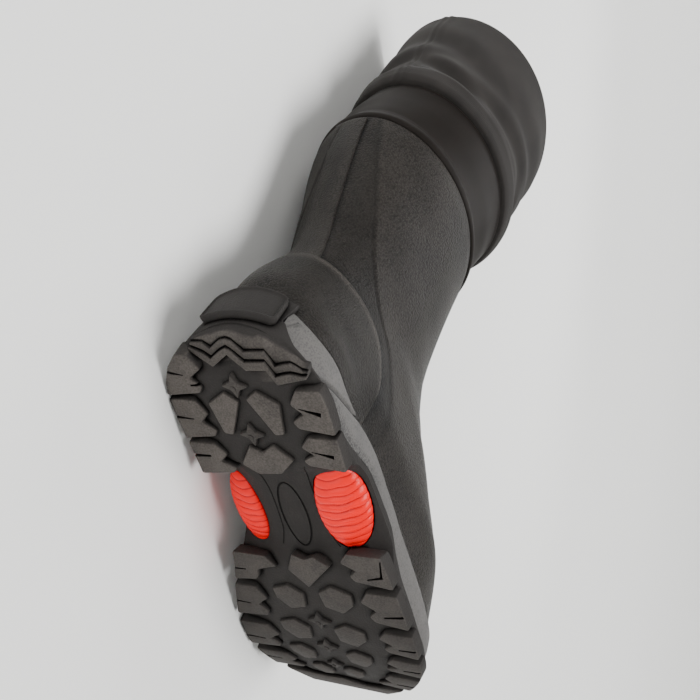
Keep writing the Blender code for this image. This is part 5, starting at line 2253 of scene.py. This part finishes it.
@dataclass
class Studio:
    """Pale round sweep, soft lights and the camera at the photo's angle to the boot."""

    floor_radius: float = 3.0
    cove_radius: float = 1.1
    wall_height: float = 1.8
    world: float = 0.14
    key_strength: float = 4.1
    key_angle: float = 40.0
    key_from: tuple[float, float, float] = (0.05, -0.05, 1.0)
    target: tuple[float, float, float] = (0.0, 0.0, 0.06)
    softboxes: Sequence[Softbox] = (
        Softbox("softbox_behind", (0.35, 1.05, 1.0), 0.8, 7.0),
        Softbox("softbox_sole", (-0.6, -1.35, 0.3), 0.9, 4.4),
        Softbox("softbox_heel", (-1.0, 0.2, 0.5), 0.6, 3.2),
    )
    cove_steps: int = 8
    spin_steps: int = 64

    # Camera in the boot's own millimetres: place, viewing direction's axes, focal length in pixels
    image: float = 700.0
    sensor: float = 36.0
    focal: float = 1149.5
    zoom: float = 0.87
    shift: tuple[float, float] = (0.074, 0.036)
    turn: tuple[float, float, float] = (0.8720, -0.1376, 1.3619)
    offset: tuple[float, float, float] = (-36.5, -17.3, 466.7)

    def sweep(self) -> Object:
        """Floor and round cove spun from one profile.

        Returns:
            The sweep, declared as the stage.
        """
        bm = bmesh.new()
        inner = self.floor_radius - self.cove_radius
        profile = [(0.0, 0.0), (inner, 0.0)]
        for turn in np.linspace(0.0, 0.5 * math.pi, self.cove_steps + 1)[1:]:
            rise = self.cove_radius * (1.0 - math.cos(turn))
            profile.append((inner + self.cove_radius * math.sin(turn), rise))
        profile.append((self.floor_radius, self.wall_height))
        verts = [bm.verts.new((r, 0.0, z)) for r, z in profile]
        edges = [bm.edges.new(pair) for pair in zip(verts, verts[1:])]
        bmesh.ops.spin(bm, geom=verts + edges, cent=(0.0, 0.0, 0.0), axis=(0.0, 0.0, 1.0),
                       dvec=(0.0, 0.0, 0.0), angle=2.0 * math.pi, steps=self.spin_steps, use_merge=True)
        bmesh.ops.remove_doubles(bm, verts=bm.verts, dist=1e-5)
        bmesh.ops.recalc_face_normals(bm, faces=bm.faces)
        bmesh.ops.reverse_faces(bm, faces=bm.faces)
        mesh = to_mesh("studio_sweep", bm)
        mesh.shade_smooth()
        mesh.materials.append(PAPER.material())
        floor = link("studio_sweep", mesh)
        floor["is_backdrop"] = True
        return floor

    def hang(self, data: bpy.types.Light, place: Vector) -> Object:
        """Hang a light so that it points at the boot.

        Args:
            data: The light.
            place: Where it hangs.

        Returns:
            The light's object.
        """
        lamp = link(data.name, data)
        lamp.location = place
        lamp.rotation_euler = (Vector(self.target) - place).to_track_quat("-Z", "Y").to_euler()
        return lamp

    def lights(self) -> None:
        """Hang the broad key light, which lights the whole sweep evenly, and the softboxes."""
        key = bpy.data.lights.new("key", "SUN")
        key.energy = self.key_strength
        key.angle = math.radians(self.key_angle)
        self.hang(key, Vector(self.target) + Vector(self.key_from))
        for box in self.softboxes:
            area = bpy.data.lights.new(box.name, "AREA")
            area.shape = "SQUARE"
            area.size = box.size
            area.energy = box.power
            self.hang(area, Vector(box.place)).visible_camera = False

    def camera(self) -> None:
        """Set the camera where the photo was taken from, seen from the boot."""
        turn = Vector(self.turn)
        rotation = Matrix.Rotation(turn.length, 3, turn.normalized())
        place = -(rotation.transposed() @ Vector(self.offset))
        right, down, ahead = (Vector(row) for row in rotation)
        pose = Matrix((right, -down, -ahead)).transposed().to_4x4()
        data = bpy.data.cameras.new("camera")
        data.sensor_width = self.sensor
        data.lens = self.focal * self.zoom / self.image * self.sensor
        data.shift_x, data.shift_y = self.shift
        data.clip_start = 0.01
        camera = link("camera", data)
        laid = PLACE.to_3x3() @ Matrix.Scale(1.0 / MM, 3)
        camera.matrix_world = Matrix.Translation(PLACE @ place) @ (laid @ pose.to_3x3()).to_4x4()
        bpy.context.scene.camera = camera

    def build(self) -> None:
        """Set the stage, the camera, the lights and the even light of the room."""
        self.sweep()
        self.camera()
        self.lights()
        world = bpy.data.worlds.new("studio")
        world.use_nodes = True
        room = world.node_tree.nodes["Background"]
        feed(world.node_tree, room, {"Color": (1.0, 1.0, 1.0, 1.0), "Strength": self.world})
        bpy.context.scene.world = world


def main() -> None:
    """Build the studio and every piece of the boot, and work out its size beside the frame's."""
    logging.basicConfig(level=logging.INFO, format="%(name)s: %(message)s")
    Studio().build()
    for assembly in (Outsole(), ArchPads(), KickTab(), Midsole(), Footbed(), Upper(), CuffBand(), Leg()):
        pieces = assembly.build()
        assembly.dress(pieces)
        for piece in pieces:
            LOG.info("%s: %d faces", piece.name, len(piece.data.polygons))
    boxes = {"cad": CAD_BOX, "visual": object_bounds()}
    {name: [list(corner) for corner in box] for name, box in boxes.items()}


if __name__ == "__main__":
    main()
